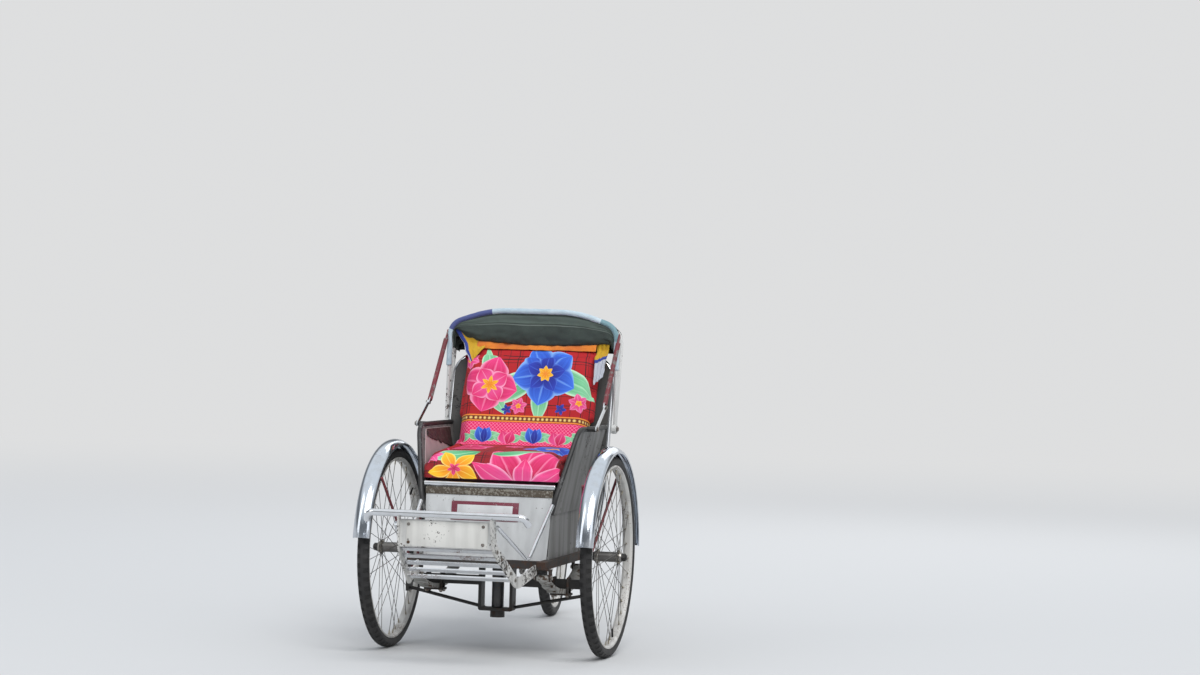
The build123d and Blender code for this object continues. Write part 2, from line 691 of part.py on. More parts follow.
def bow_plane(lean):
    """The plane of a bow that leans back by so many degrees from upright."""
    turn = radians(lean)
    return Plane(origin=(0, PIVOT_Y, PIVOT_Z), x_dir=(1, 0, 0), z_dir=(0, -cos(turn), sin(turn)))


ARCH = [
    (BOW_SHOULDER_HALF, BOW_SHOULDER),
    (BOW_CROWN_HALF, BOW_CROWN),
    (-BOW_CROWN_HALF, BOW_CROWN),
    (-BOW_SHOULDER_HALF, BOW_SHOULDER),
]

with BuildPart() as hood_bows:
    for lean in BOW_LEANS:
        plane = bow_plane(lean)
        corners = [(BOW_FOOT_HALF, 0)] + ARCH + [(-BOW_FOOT_HALF, 0)]
        bent_bar([plane.from_local_coords((x, rise, 0)) for x, rise in corners], BOW_BEND, BOW_RADIUS)
    for side in (1, -1):
        inner = HOOP_HALF + HOOP_RADIUS + SEAT_GAP
        boss = side * (BOW_FOOT_HALF + BOW_RADIUS - inner)
        on_x(side * inner, PIVOT_BOSS_RADIUS, boss, y=PIVOT_Y, z=PIVOT_Z)
keep(hood_bows.part, "hood_bows")

with BuildPart() as hood_canvas:
    inset = BOW_RADIUS + SEAT_GAP
    first = BOW_LEANS[0] + degrees(inset / BOW_CROWN) + 0.3
    last = BOW_LEANS[-1]
    with BuildSketch(bow_plane(first)) as folds:
        with BuildLine():
            FilletPolyline(
                (BOW_SHOULDER_HALF - inset - 1, BOW_CROWN - CANVAS_DEPTH),
                (BOW_SHOULDER_HALF - inset - 1, BOW_SHOULDER - inset),
                (BOW_CROWN_HALF, BOW_CROWN - inset),
                (-BOW_CROWN_HALF, BOW_CROWN - inset),
                (-BOW_SHOULDER_HALF + inset + 1, BOW_SHOULDER - inset),
                (-BOW_SHOULDER_HALF + inset + 1, BOW_CROWN - CANVAS_DEPTH),
                radius=BOW_BEND,
            )
            Line(
                (BOW_SHOULDER_HALF - inset - 1, BOW_CROWN - CANVAS_DEPTH),
                (-BOW_SHOULDER_HALF + inset + 1, BOW_CROWN - CANVAS_DEPTH),
            )
        make_face()
    revolve(axis=pivot_line, revolution_arc=last - first)
keep(hood_canvas.part, "hood_canvas")

# Folding stays of the hood: a long link from the front bow and a short one from the arm

STAY_HEAD = (PIVOT_Y + 10, PIVOT_Z + BOW_SHOULDER - STAY_HEAD_DROP)


def link(x, start, end):
    """A flat bar with round ends, standing in the YZ plane."""
    with BuildSketch(Plane.YZ.offset(x)) as outline:
        with Locations(start, end):
            Circle(LINK_WIDTH / 2)
        make_hull()
    extrude(outline.sketch, amount=LINK_THICKNESS)


with BuildPart() as hood_stays:
    short_x = KNOB_X + SEAT_GAP
    link(short_x, (KNOB_Y, KNOB.Z), STAY_JOINT)
    link(short_x - LINK_THICKNESS - SEAT_GAP, STAY_JOINT, STAY_HEAD)
    mirror(about=Plane.YZ)
keep(hood_stays.part, "hood_stays")

# Cushions: the back one is a wedge that is thick at the bottom, and the seat rises towards it

PAD_LOW = BOARD_TOP + 15
PAD_HIGH = HOOP_TOP + 15


def pad_y(z):
    """Where the back cushion's front face lies at a height."""
    share = (z - PAD_LOW) / (PAD_HIGH - PAD_LOW)
    return back_y(z) - BACK_PAD_LOW + (BACK_PAD_LOW - BACK_PAD_HIGH) * share


with BuildPart() as seat_cushion:
    front = BAR_Y + BAR_RADIUS + CUSHION_GAP
    seat_low = BOARD_TOP + SEAT_GAP
    seat_high = BOARD_TOP + SEAT_BACK_HEIGHT
    with BuildSketch(Plane.YZ):
        with BuildLine():
            FilletPolyline(
                (front, seat_low),
                (front, BOARD_TOP + SEAT_FRONT_HEIGHT),
                (pad_y(seat_high) - CUSHION_GAP, seat_high),
                (pad_y(seat_low) - CUSHION_GAP, seat_low),
                radius=(CUSHION_BROW, 14.0),
            )
            Line((front, seat_low), (pad_y(seat_low) - CUSHION_GAP, seat_low))
        make_face()
    extrude(amount=BOX_HALF + CUSHION_OVERHANG, both=True)
    fillet(seat_cushion.edges().filter_by(Axis.Y, 12), 8)
keep(seat_cushion.part, "seat_cushion")

with BuildPart() as back_cushion:
    with BuildSketch(Plane.YZ):
        with BuildLine():
            FilletPolyline(
                (back_y(PAD_LOW) - BACK_FACE, PAD_LOW),
                (pad_y(PAD_LOW), PAD_LOW),
                (pad_y(PAD_HIGH), PAD_HIGH),
                (back_y(PAD_HIGH) - BACK_FACE, PAD_HIGH),
                radius=(10.0, 22.0),
            )
            Line((back_y(PAD_HIGH) - BACK_FACE, PAD_HIGH), (back_y(PAD_LOW) - BACK_FACE, PAD_LOW))
        make_face()
    extrude(amount=BOX_HALF + CUSHION_OVERHANG + 4, both=True)
keep(back_cushion.part, "back_cushion")

# Footrest: splayed side plates, five slats that climb forward, the board in front and the bumper


def ramp_x(y):
    """Inner face of the left side plate at a distance along the carriage."""
    return RAMP_HALF + (y - RAMP_TOP[0]) * RAMP_SPLAY


SPLAY_SECANT = sqrt(1 + RAMP_SPLAY**2)

with BuildPart() as ramp_sides:
    side_plane = Plane(origin=(ramp_x(0), 0, 0), x_dir=(RAMP_SPLAY, 1, 0), z_dir=(1, -RAMP_SPLAY, 0))
    with BuildSketch(side_plane):
        with BuildLine() as bend:
            FilletPolyline(
                *[(y * SPLAY_SECANT, z) for y, z in (RAMP_TOP, RAMP_KNEE, RAMP_FOOT, RAMP_END)],
                radius=(40.0, 60.0),
            )
        trace(bend.line, RAMP_DEPTH)
    extrude(amount=RAMP_PLATE)
    mirror(about=Plane.YZ)
    rod(
        (-BUMPER_CORNER, BUMPER_Y, BUMPER_Z),
        (BUMPER_CORNER, BUMPER_Y, BUMPER_Z),
        BUMPER_RADIUS + SEAT_GAP,
        Mode.SUBTRACT,
    )
keep(ramp_sides.part, "footrest_sides")

with BuildPart() as ramp_slats:
    slope = degrees(atan((RAMP_KNEE[1] - RAMP_FOOT[1]) / (RAMP_KNEE[0] - RAMP_FOOT[0])))
    for number in range(SLAT_COUNT):
        share = (number + 0.4) / SLAT_COUNT
        y = RAMP_KNEE[0] + (RAMP_FOOT[0] - RAMP_KNEE[0]) * share
        z = RAMP_KNEE[1] + (RAMP_FOOT[1] - RAMP_KNEE[1]) * share
        half = ramp_x(y - SLAT_WIDTH / 2) - SEAT_GAP
        with Locations(Location((0, y, z), (slope, 0, 0))):
            Box(2 * half, SLAT_WIDTH, SLAT_THICKNESS)
keep(ramp_slats.part, "footrest_slats")

with BuildPart() as front_board:
    with BuildSketch(Plane.XZ.offset(-BOARD_Y)):
        with Locations((0, (BOARD_LOW + BOARD_HIGH) / 2)):
            Rectangle(2 * (ramp_x(BOARD_Y) - SEAT_GAP), BOARD_HIGH - BOARD_LOW)
            with GridLocations(2 * BOARD_HOLE_X, 2 * BOARD_HOLE_Z, 2, 2):
                Circle(BOARD_HOLE_RADIUS, mode=Mode.SUBTRACT)
    extrude(amount=-PANEL_THICKNESS)
keep(front_board.part, "front_board")

with BuildPart() as bumper_bar:
    bent_bar(
        [
            (-BUMPER_CORNER - 10, BUMPER_Y + BUMPER_TURN, BUMPER_Z - BUMPER_TURN),
            (-BUMPER_CORNER, BUMPER_Y, BUMPER_Z),
            (BUMPER_CORNER, BUMPER_Y, BUMPER_Z),
            (BUMPER_CORNER + 10, BUMPER_Y + BUMPER_TURN, BUMPER_Z - BUMPER_TURN),
        ],
        BUMPER_TURN,
        BUMPER_RADIUS,
    )
keep(bumper_bar.part, "bumper_bar")

with BuildPart() as brace_rods:
    head_x = ramp_x(BRACE_HEAD[0]) + RAMP_PLATE + BRACE_RADIUS + 1
    foot_y = TUB_FRONT - TRIM_OFFSET - 2 * BRACE_RADIUS
    bent_bar([(head_x, *BRACE_HEAD), BRACE_KNEE, (BRACE_FOOT[0], foot_y, BRACE_FOOT[1])], BRACE_BEND, BRACE_RADIUS)
    mirror(about=Plane.YZ)
keep(brace_rods.part, "brace_rods")

# Mudguards


def guard_section(x):
    """The outline of a mudguard's sheet, as distances along X and out from the axle."""
    half = GUARD_WIDTH / 2
    edge = GUARD_RADIUS - GUARD_CROWN
    with BuildLine() as outline:
        ThreePointArc((x - half, edge), (x, GUARD_RADIUS), (x + half, edge))
        Line((x + half, edge), (x + half, edge - GUARD_LIP))
        Line((x + half, edge - GUARD_LIP), (x + half - GUARD_SHEET, edge - GUARD_LIP))
        Line((x + half - GUARD_SHEET, edge - GUARD_LIP), (x + half - GUARD_SHEET, edge - GUARD_SHEET / 2))
        ThreePointArc(
            (x + half - GUARD_SHEET, edge - GUARD_SHEET / 2),
            (x, GUARD_RADIUS - GUARD_SHEET),
            (x - half + GUARD_SHEET, edge - GUARD_SHEET / 2),
        )
        Line((x - half + GUARD_SHEET, edge - GUARD_SHEET / 2), (x - half + GUARD_SHEET, edge - GUARD_LIP))
        Line((x - half + GUARD_SHEET, edge - GUARD_LIP), (x - half, edge - GUARD_LIP))
        Line((x - half, edge - GUARD_LIP), (x - half, edge))
    return outline.line


def mudguard(x, y, front_angle, back_angle):
    """A mudguard over a wheel at x and y, from one angle to the other, counted up from the front."""
    centre = Vector(0, y, WHEEL_RADIUS)
    turn = radians(front_angle)
    start = Plane(origin=centre, x_dir=(1, 0, 0), z_dir=(0, -sin(turn), -cos(turn)))
    with BuildSketch(start) as section:
        make_face(guard_section(x).edges())
    revolve(section.sketch, axis=Axis(centre, (-1, 0, 0)), revolution_arc=back_angle - front_angle)


with BuildPart() as front_guards:
    mudguard(TRACK / 2, 0, GUARD_FRONT_ANGLE, GUARD_BACK_ANGLE)
    mirror(about=Plane.YZ)
keep(front_guards.part, "front_mudguards")

with BuildPart() as guard_stays:
    lip_x = TRACK / 2 - GUARD_WIDTH / 2
    lip_radius = GUARD_RADIUS - GUARD_CROWN - GUARD_LIP / 2
    for way in (-1, 1):
        top = (
            lip_x - SEAT_GAP - STAY_RADIUS * 1.1,
            way * lip_radius * cos(radians(STAY_ANGLE)),
            WHEEL_RADIUS + lip_radius * sin(radians(STAY_ANGLE)),
        )
        rod((UPRIGHT_X - STAY_FOOT_INSET, way * 7, BEAM_Z + BEAM_HEIGHT / 2), top, STAY_RADIUS)
    with Locations((UPRIGHT_X, 0, BEAM_Z + BEAM_HEIGHT / 2 + SEAT_GAP)):
        Box(
            4 * STAY_FOOT_INSET,
            2 * BEAM_DEPTH,
            BEAM_HEIGHT,
            align=(Align.CENTER, Align.CENTER, Align.MAX),
            mode=Mode.SUBTRACT,
        )
    mirror(about=Plane.YZ)
keep(guard_stays.part, "mudguard_stays")

# Rear frame, drawn straight behind the kingpin

HEAD_LOW = YOKE_BOTTOM + YOKE_WALL + 2
HEAD_HIGH = YOKE_TOP - YOKE_WALL - 2


def seat_tube_y(z):
    """Where the seat tube's middle lies at a height."""
    return BRACKET_Y + (z - BRACKET_Z) * SEAT_TUBE_LEAN


with BuildPart() as backbone:
    rod((0, 0, HEAD_LOW), (0, 0, HEAD_HIGH), HEAD_RADIUS)
    rod((0, HEAD_RADIUS / 2, BACKBONE_Z), (0, BRACKET_Y, BRACKET_Z), BACKBONE_RADIUS)
    rod((-BRACKET_HALF, BRACKET_Y, BRACKET_Z), (BRACKET_HALF, BRACKET_Y, BRACKET_Z), BRACKET_RADIUS)
    rod((0, 0, 0), (0, 0, WHEEL_RADIUS), KINGPIN_RADIUS + RUNNING_GAP, Mode.SUBTRACT)
    bore = SPINDLE_RADIUS + RUNNING_GAP
    rod((-2 * BRACKET_HALF, BRACKET_Y, BRACKET_Z), (2 * BRACKET_HALF, BRACKET_Y, BRACKET_Z), bore, Mode.SUBTRACT)
keep(backbone.part, "backbone", turned=True)

with BuildPart() as seat_tube:
    rod((0, BRACKET_Y, BRACKET_Z), (0, seat_tube_y(SEAT_TUBE_TOP), SEAT_TUBE_TOP), SEAT_TUBE_RADIUS)
    rod(
        (-BRACKET_HALF, BRACKET_Y, BRACKET_Z),
        (BRACKET_HALF, BRACKET_Y, BRACKET_Z),
        BRACKET_RADIUS + SEAT_GAP,
        Mode.SUBTRACT,
    )
    rod(
        (0, 0, BACKBONE_Z),
        (0, BRACKET_Y, BRACKET_Z),
        BACKBONE_RADIUS + SEAT_GAP,
        Mode.SUBTRACT,
    )
    rod(
        (0, BRACKET_Y, BRACKET_Z),
        (0, seat_tube_y(SEAT_TUBE_TOP + 50), SEAT_TUBE_TOP + 50),
        POST_RADIUS + SEAT_GAP,
        Mode.SUBTRACT,
    )
keep(seat_tube.part, "seat_tube", turned=True)

with BuildPart() as seat_post:
    low = SEAT_TUBE_TOP - POST_INSERT
    rod((0, seat_tube_y(low), low), (0, seat_tube_y(POST_TOP), POST_TOP), POST_RADIUS)
keep(seat_post.part, "seat_post", turned=True)

with BuildPart() as chain_stays:
    eye = Vector(DROPOUT_X, WHEELBASE, WHEEL_RADIUS)
    start = Vector(BRACKET_HALF - REAR_STAY_RADIUS, BRACKET_Y, BRACKET_Z)
    rod(tuple(start), tuple(eye - (eye - start).normalized() * 16), REAR_STAY_RADIUS)
    rod((0, BRACKET_Y, BRACKET_Z), (2 * BRACKET_HALF, BRACKET_Y, BRACKET_Z), BRACKET_RADIUS + SEAT_GAP, Mode.SUBTRACT)
    with BuildSketch(Plane.YZ.offset(DROPOUT_X - DROPOUT_WALL / 2)):
        with Locations((WHEELBASE, WHEEL_RADIUS)):
            Circle(DROPOUT_RADIUS)
            Circle(REAR_AXLE_RADIUS + SEAT_GAP, mode=Mode.SUBTRACT)
    extrude(amount=DROPOUT_WALL)
    mirror(about=Plane.YZ)
keep(chain_stays.part, "chain_stays", turned=True)

with BuildPart() as seat_stays:
    top = Vector(30, seat_tube_y(CLUSTER_Z) + 12, CLUSTER_Z)
    down = (eye - top).normalized()
    rod(tuple(top), tuple(eye - down * (DROPOUT_RADIUS + SEAT_GAP)), REAR_STAY_RADIUS)
    on_x(0, REAR_STAY_RADIUS, 30, top.Y, CLUSTER_Z)
    guard_share = 1 - (GUARD_RADIUS + SEAT_GAP + 6) / (eye - top).length
    bridge = top + (eye - top) * guard_share
    on_x(0, 5, bridge.X, bridge.Y, bridge.Z)
    mirror(about=Plane.YZ)
    rod(
        (0, BRACKET_Y, BRACKET_Z),
        (0, seat_tube_y(SEAT_TUBE_TOP), SEAT_TUBE_TOP),
        SEAT_TUBE_RADIUS + SEAT_GAP,
        Mode.SUBTRACT,
    )
keep(seat_stays.part, "seat_stays", turned=True)

with BuildPart() as rear_axle:
    outer = DROPOUT_X + DROPOUT_WALL / 2 + SEAT_GAP
    on_x(0, REAR_AXLE_RADIUS, outer + 12, WHEELBASE, WHEEL_RADIUS)
    on_x(outer, 10, 8, WHEELBASE, WHEEL_RADIUS)
    on_x(REAR_HUB_HALF + 1, 9, DROPOUT_X - DROPOUT_WALL / 2 - SEAT_GAP - REAR_HUB_HALF - 1, WHEELBASE, WHEEL_RADIUS)
    mirror(about=Plane.YZ)
keep(rear_axle.part, "rear_axle", turned=True)

with BuildPart() as rear_guard:
    mudguard(0, WHEELBASE, REAR_GUARD_FRONT, REAR_GUARD_BACK)
keep(rear_guard.part, "rear_mudguard", turned=True)

with BuildPart() as rear_guard_stays:
    for angle in (125.0, 150.0):
        end_radius = GUARD_RADIUS - GUARD_CROWN - GUARD_LIP / 2
        turn = radians(angle)
        ring = DROPOUT_X + DROPOUT_WALL / 2 + SEAT_GAP + 3
        foot = (ring, WHEELBASE + 16, WHEEL_RADIUS + 10 + (150 - angle) / 3)
        head = (
            GUARD_WIDTH / 2 + SEAT_GAP + 2.5,
            WHEELBASE - end_radius * cos(turn),
            WHEEL_RADIUS + end_radius * sin(turn),
        )
        rod(foot, head, 2.5)
    mirror(about=Plane.YZ)
keep(rear_guard_stays.part, "rear_mudguard_stays", turned=True)

# Brake: the plate that closes the drum, with its cam arm, then the rod, then the loop that pulls it

BRAKE_PLATE_X = REAR_HUB_HALF + 5.2
BRAKE_TURN = radians(BRAKE_ARM_ANGLE)
ROD_FOOT = (WHEELBASE - BRAKE_ARM * cos(BRAKE_TURN), WHEEL_RADIUS + BRAKE_ARM * sin(BRAKE_TURN))
LEVER_PIVOT = (seat_tube_y(LEVER_Z) - SEAT_TUBE_RADIUS - LEVER_RADIUS - 4, LEVER_Z)
ROD_HEAD = (LEVER_PIVOT[0] + LEVER_TAIL * cos(BRAKE_TURN), LEVER_Z - LEVER_TAIL * sin(BRAKE_TURN))
LEVER_TOP = (LEVER_PIVOT[0] - LEVER_REACH, LEVER_Z + LEVER_RISE)
TAIL_X = LEVER_FOOT_HALF + LEVER_RADIUS

with BuildPart() as brake_plate:
    with BuildSketch(Plane.YZ.offset(BRAKE_PLATE_X)):
        with Locations((WHEELBASE, WHEEL_RADIUS)):
            Circle(DRUM_RADIUS + 3)
            Circle(9 + SEAT_GAP, mode=Mode.SUBTRACT)
    extrude(amount=BRAKE_PLATE)
    with BuildSketch(Plane.YZ.offset(BRAKE_PLATE_X + BRAKE_PLATE)) as arm:
        cam = (WHEELBASE - BRAKE_CAM * cos(BRAKE_TURN), WHEEL_RADIUS + BRAKE_CAM * sin(BRAKE_TURN))
        with Locations(cam, ROD_FOOT):
            Circle(BRAKE_EYE_RADIUS)
        make_hull()
    extrude(arm.sketch, amount=BRAKE_PLATE)
keep(brake_plate.part, "brake_plate", turned=True)

with BuildPart() as brake_rod:
    foot_x = BRAKE_PLATE_X + BRAKE_PLATE - SEAT_GAP
    head_x = TAIL_X + BRAKE_PLATE + SEAT_GAP
    on_x(foot_x, BRAKE_EYE_RADIUS, -BRAKE_ROD_RADIUS, *ROD_FOOT)
    on_x(head_x, BRAKE_EYE_RADIUS, BRAKE_ROD_RADIUS, *ROD_HEAD)
    rod((foot_x - BRAKE_ROD_RADIUS, *ROD_FOOT), (head_x + BRAKE_ROD_RADIUS, *ROD_HEAD), BRAKE_ROD_RADIUS)
    on_x(foot_x, BRAKE_ARM, BRAKE_CAM, *ROD_FOOT, mode=Mode.SUBTRACT)
    on_x(head_x, BRAKE_ARM, -BRAKE_CAM, *ROD_HEAD, mode=Mode.SUBTRACT)
keep(brake_rod.part, "brake_rod", turned=True)

with BuildPart() as brake_lever:
    bent_bar(
        [
            (LEVER_FOOT_HALF, *LEVER_PIVOT),
            (LEVER_TOP_HALF, *LEVER_TOP),
            (-LEVER_TOP_HALF, *LEVER_TOP),
            (-LEVER_FOOT_HALF, *LEVER_PIVOT),
        ],
        LEVER_BEND,
        LEVER_RADIUS,
    )
    on_x(-TAIL_X, LEVER_PIN_RADIUS, 2 * TAIL_X, *LEVER_PIVOT)
    band = Plane(origin=(0, seat_tube_y(LEVER_Z), LEVER_Z), z_dir=(0, SEAT_TUBE_LEAN, 1))
    with BuildSketch(band):
        Circle(SEAT_TUBE_RADIUS + 4)
    extrude(amount=8, both=True)
    with Locations((0, LEVER_PIVOT[0], LEVER_Z)):
        Box(16, 16, 12, align=(Align.CENTER, Align.MIN, Align.CENTER))
    with BuildSketch(Plane.YZ.offset(TAIL_X)) as tail:
        with Locations(LEVER_PIVOT, ROD_HEAD):
            Circle(BRAKE_EYE_RADIUS)
        make_hull()
    extrude(tail.sketch, amount=BRAKE_PLATE)
    rod(
        (0, BRACKET_Y, BRACKET_Z),
        (0, seat_tube_y(SEAT_TUBE_TOP), SEAT_TUBE_TOP),
        SEAT_TUBE_RADIUS + SEAT_GAP,
        Mode.SUBTRACT,
    )
keep(brake_lever.part, "brake_lever", turned=True)

# Saddle: a pear-shaped seat on its clamp and two coil springs

with BuildPart() as saddle:
    saddle_y = seat_tube_y(POST_TOP)
    with BuildSketch(Plane.XY.offset(SADDLE_TOP - SADDLE_DEPTH)):
        with Locations((0, saddle_y + SADDLE_BACK_REACH)):
            Ellipse(SADDLE_HALF_WIDTH, SADDLE_HALF_LENGTH)
        with Locations((0, saddle_y - SADDLE_NOSE_REACH)):
            Circle(SADDLE_NOSE_RADIUS)
        make_hull()
    extrude(amount=SADDLE_DEPTH, taper=8)
    fillet(saddle.edges().group_by(Axis.Z)[-1], SADDLE_DEPTH / 4)
    base = POST_TOP + SEAT_GAP + POST_RADIUS * SEAT_TUBE_LEAN
    tops = SADDLE_TOP - SADDLE_DEPTH + 5
    rod((0, saddle_y, base), (0, saddle_y, tops), POST_RADIUS + 6)
    spring_y = saddle_y + SADDLE_BACK_REACH + SADDLE_SPRING_RADIUS
    for x in (-SADDLE_SPRING_X, SADDLE_SPRING_X):
        rod((x, spring_y, base), (x, spring_y, tops), SADDLE_SPRING_RADIUS)
    with Locations((0, (saddle_y + spring_y) / 2, base)):
        Box(
            2 * SADDLE_SPRING_X + SADDLE_SPRING_RADIUS,
            spring_y - saddle_y + SADDLE_SPRING_RADIUS,
            6,
            align=(Align.CENTER, Align.CENTER, Align.MIN),
        )
keep(saddle.part, "saddle", turned=True)

# Rear wheel with its sprocket


def tip_radius(teeth):
    """How far a tooth reaches, inside the chain that lies round it."""
    pitch_radius = PITCH / (2 * sin(radians(180 / teeth)))
    return pitch_radius * cos(radians(180 / teeth)) - CHAIN_HEIGHT / 2 - CHAIN_GAP


def tooth(teeth):
    """Corner points of one tooth, out from the root circle."""
    root = tip_radius(teeth) - 6.5
    return [(root - 2, -3.8), (root + 6.5, -1.4), (root + 6.5, 1.4), (root - 2, 3.8)]


rear_outline = hub_outline(REAR_HUB_HALF, REAR_AXLE_RADIUS + RUNNING_GAP, REAR_FLANGE_X)
rear_spot = Location((0, WHEELBASE, WHEEL_RADIUS))

with BuildPart() as rear_hub:
    add(spoked_hub(rear_outline, REAR_FLANGE_X))
    with BuildSketch(Plane.YZ.offset(REAR_FLANGE_X + FLANGE_THICKNESS / 2 + 3)):
        Circle(DRUM_RADIUS)
        Circle(HUB_BARREL_RADIUS - 4, mode=Mode.SUBTRACT)
    extrude(amount=DRUM_WIDTH)

with BuildPart() as sprocket:
    with BuildSketch(Plane.YZ.offset(CHAIN_X - 1.5)):
        Circle(tip_radius(SPROCKET_TEETH) - 6.5)
        with PolarLocations(0, SPROCKET_TEETH):
            Polygon(*tooth(SPROCKET_TEETH), align=None)
        Circle(HUB_BARREL_RADIUS - 3 + SEAT_GAP, mode=Mode.SUBTRACT)
    extrude(amount=3)

for part, piece in (
    ("tyre", tyre.part),
    ("rim", rim.part),
    ("spoked_hub", rear_hub.part),
    ("sprocket", sprocket.part),
):
    keep(piece.moved(rear_spot), f"rear_{part}", turned=True)

# Crankset

crank_spot = Plane.YZ.offset(CHAIN_X - 1.5)

with BuildPart() as crankset:
    with BuildSketch(crank_spot):
        ring_root = tip_radius(RING_TEETH) - 6.5
        Circle(ring_root)
        with PolarLocations(0, RING_TEETH):
            Polygon(*tooth(RING_TEETH), align=None)
        with PolarLocations(ring_root * 0.62, 5):
            Circle(ring_root * 0.22, mode=Mode.SUBTRACT)
    extrude(amount=3)
    reach = CRANK_INNER + CRANK_THICKNESS
    on_x(-reach, SPINDLE_RADIUS, 2 * reach)
    on_x(CHAIN_X, 24, -(CRANK_INNER + CHAIN_X))
    for side in (1, -1):
        with BuildSketch(Plane.YZ.offset(side * CRANK_INNER)) as arm:
            with Locations((0, 0)):
                Circle(18)
            with Locations((side * CRANK_LENGTH, 0)):
                Circle(13)
            make_hull()
        extrude(arm.sketch, amount=side * CRANK_THICKNESS)
        on_x(side * reach, 6, side * (PEDAL_LENGTH + 8), y=side * CRANK_LENGTH)
keep(crankset.part.moved(Location((0, BRACKET_Y, BRACKET_Z))), "crankset", turned=True)

for side, name in ((1, "left"), (-1, "right")):
    with BuildPart() as pedal:
        with Locations((PEDAL_LENGTH / 2, 0, 0)):
            for y in (-PEDAL_DEPTH / 2 + 11, PEDAL_DEPTH / 2 - 11):
                with Locations((0, y, 0)):
                    Box(PEDAL_LENGTH, 22, PEDAL_HEIGHT)
        for x in (0, PEDAL_LENGTH - 4):
            with Locations((x, 0, 0)):
                Box(4, PEDAL_DEPTH, PEDAL_HEIGHT - 4, align=(Align.MIN, Align.CENTER, Align.CENTER))
        on_x(0, 11, PEDAL_LENGTH)
        on_x(-1, 6 + RUNNING_GAP, PEDAL_LENGTH + 2, mode=Mode.SUBTRACT)
    start = side * (CRANK_INNER + CRANK_THICKNESS + 3)
    piece = pedal.part if side > 0 else mirror(pedal.part, about=Plane.YZ, mode=Mode.PRIVATE)
    keep(
        piece.moved(Location((start, BRACKET_Y + side * CRANK_LENGTH, BRACKET_Z))), f"pedal_{name}", turned=True
    )

# Chain: one loop of separate links round both sprockets

ring_radius = PITCH / (2 * sin(radians(180 / RING_TEETH)))
sprocket_radius = PITCH / (2 * sin(radians(180 / SPROCKET_TEETH)))
reach = sqrt((WHEELBASE - BRACKET_Y) ** 2 + (WHEEL_RADIUS - BRACKET_Z) ** 2)
tilt = degrees(atan((WHEEL_RADIUS - BRACKET_Z) / (WHEELBASE - BRACKET_Y)))
run = sqrt(reach**2 - (ring_radius - sprocket_radius) ** 2)
splay = degrees(atan((ring_radius - sprocket_radius) / run))

loop_length = 2 * run + radians(180 + 2 * splay) * ring_radius + radians(180 - 2 * splay) * sprocket_radius
link_count = 2 * round(loop_length / PITCH / 2)
link_pitch = loop_length / link_count


def chain_point(distance):
    """Place and heading of the chain's middle line, in the sprockets' plane, along the line of centres."""
    wrap = radians(180 + 2 * splay) * ring_radius
    lean = radians(90 - splay)
    if distance < run:
        start = Vector(reach + sprocket_radius * cos(lean), -sprocket_radius * sin(lean))
        heading = 180 + splay
        way = Vector(cos(radians(heading)), sin(radians(heading)))
        return start + way * distance, heading
    distance -= run
    if distance < wrap:
        angle = -(90 - splay) - degrees(distance / ring_radius)
        return Vector(ring_radius * cos(radians(angle)), ring_radius * sin(radians(angle))), angle - 90
    distance -= wrap
    if distance < run:
        start = Vector(ring_radius * cos(lean), ring_radius * sin(lean))
        heading = -splay
        way = Vector(cos(radians(heading)), sin(radians(heading)))
        return start + way * distance, heading
    distance -= run
    angle = 90 - splay - degrees(distance / sprocket_radius)
    spot = Vector(reach + sprocket_radius * cos(radians(angle)), sprocket_radius * sin(radians(angle)))
    return spot, angle - 90


with BuildPart() as chain:
    for wide in (0, 1):
        spots = [chain_point((number + 0.5) * link_pitch) for number in range(wide, link_count, 2)]
        half = CHAIN_WIDTH / 2 - (0 if wide else 1.2)
        with BuildSketch(Plane.YZ.offset(CHAIN_X - half)) as outline:
            with Locations(Location((0, 0, 0), (0, 0, tilt))):
                for spot, heading in spots:
                    with Locations(Location((spot.X, spot.Y, 0), (0, 0, heading))):
                        Rectangle(link_pitch - 2 * LINK_GAP, CHAIN_HEIGHT - (0 if wide else 1.6))
        extrude(amount=2 * half)
keep(chain.part.moved(Location((0, BRACKET_Y, BRACKET_Z))), "chain", turned=True)

# Everything in the shared frame: the rear frame at its turn, and the origin under the middle

placed = []
for piece, turned in finished:
    spot = Location((0, 0, 0), (0, 0, REST_TURN)) if turned else Location()
    placed.append((piece.moved(spot), piece.label))

boxes = [piece.bounding_box() for piece, label in placed]
middle_y = (min(box.min.Y for box in boxes) + max(box.max.Y for box in boxes)) / 2

for piece, label in placed:
    piece = piece.moved(Location((0, -middle_y, 0)))
    piece.label = label
    export_step(piece, f"parts/{label}.step")
print("middle", round(middle_y, 3), "links", link_count)
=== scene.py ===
"""Cycle rickshaw: cushions, blanket, hood, tyres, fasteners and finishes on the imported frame."""

from math import asin, atan2, cos, hypot, pi, radians, sin, tan

import bmesh
import bpy
from bpy.props import FloatProperty, FloatVectorProperty, IntProperty, PointerProperty
from mathutils import Matrix, Vector, noise
from mathutils.bvhtree import BVHTree


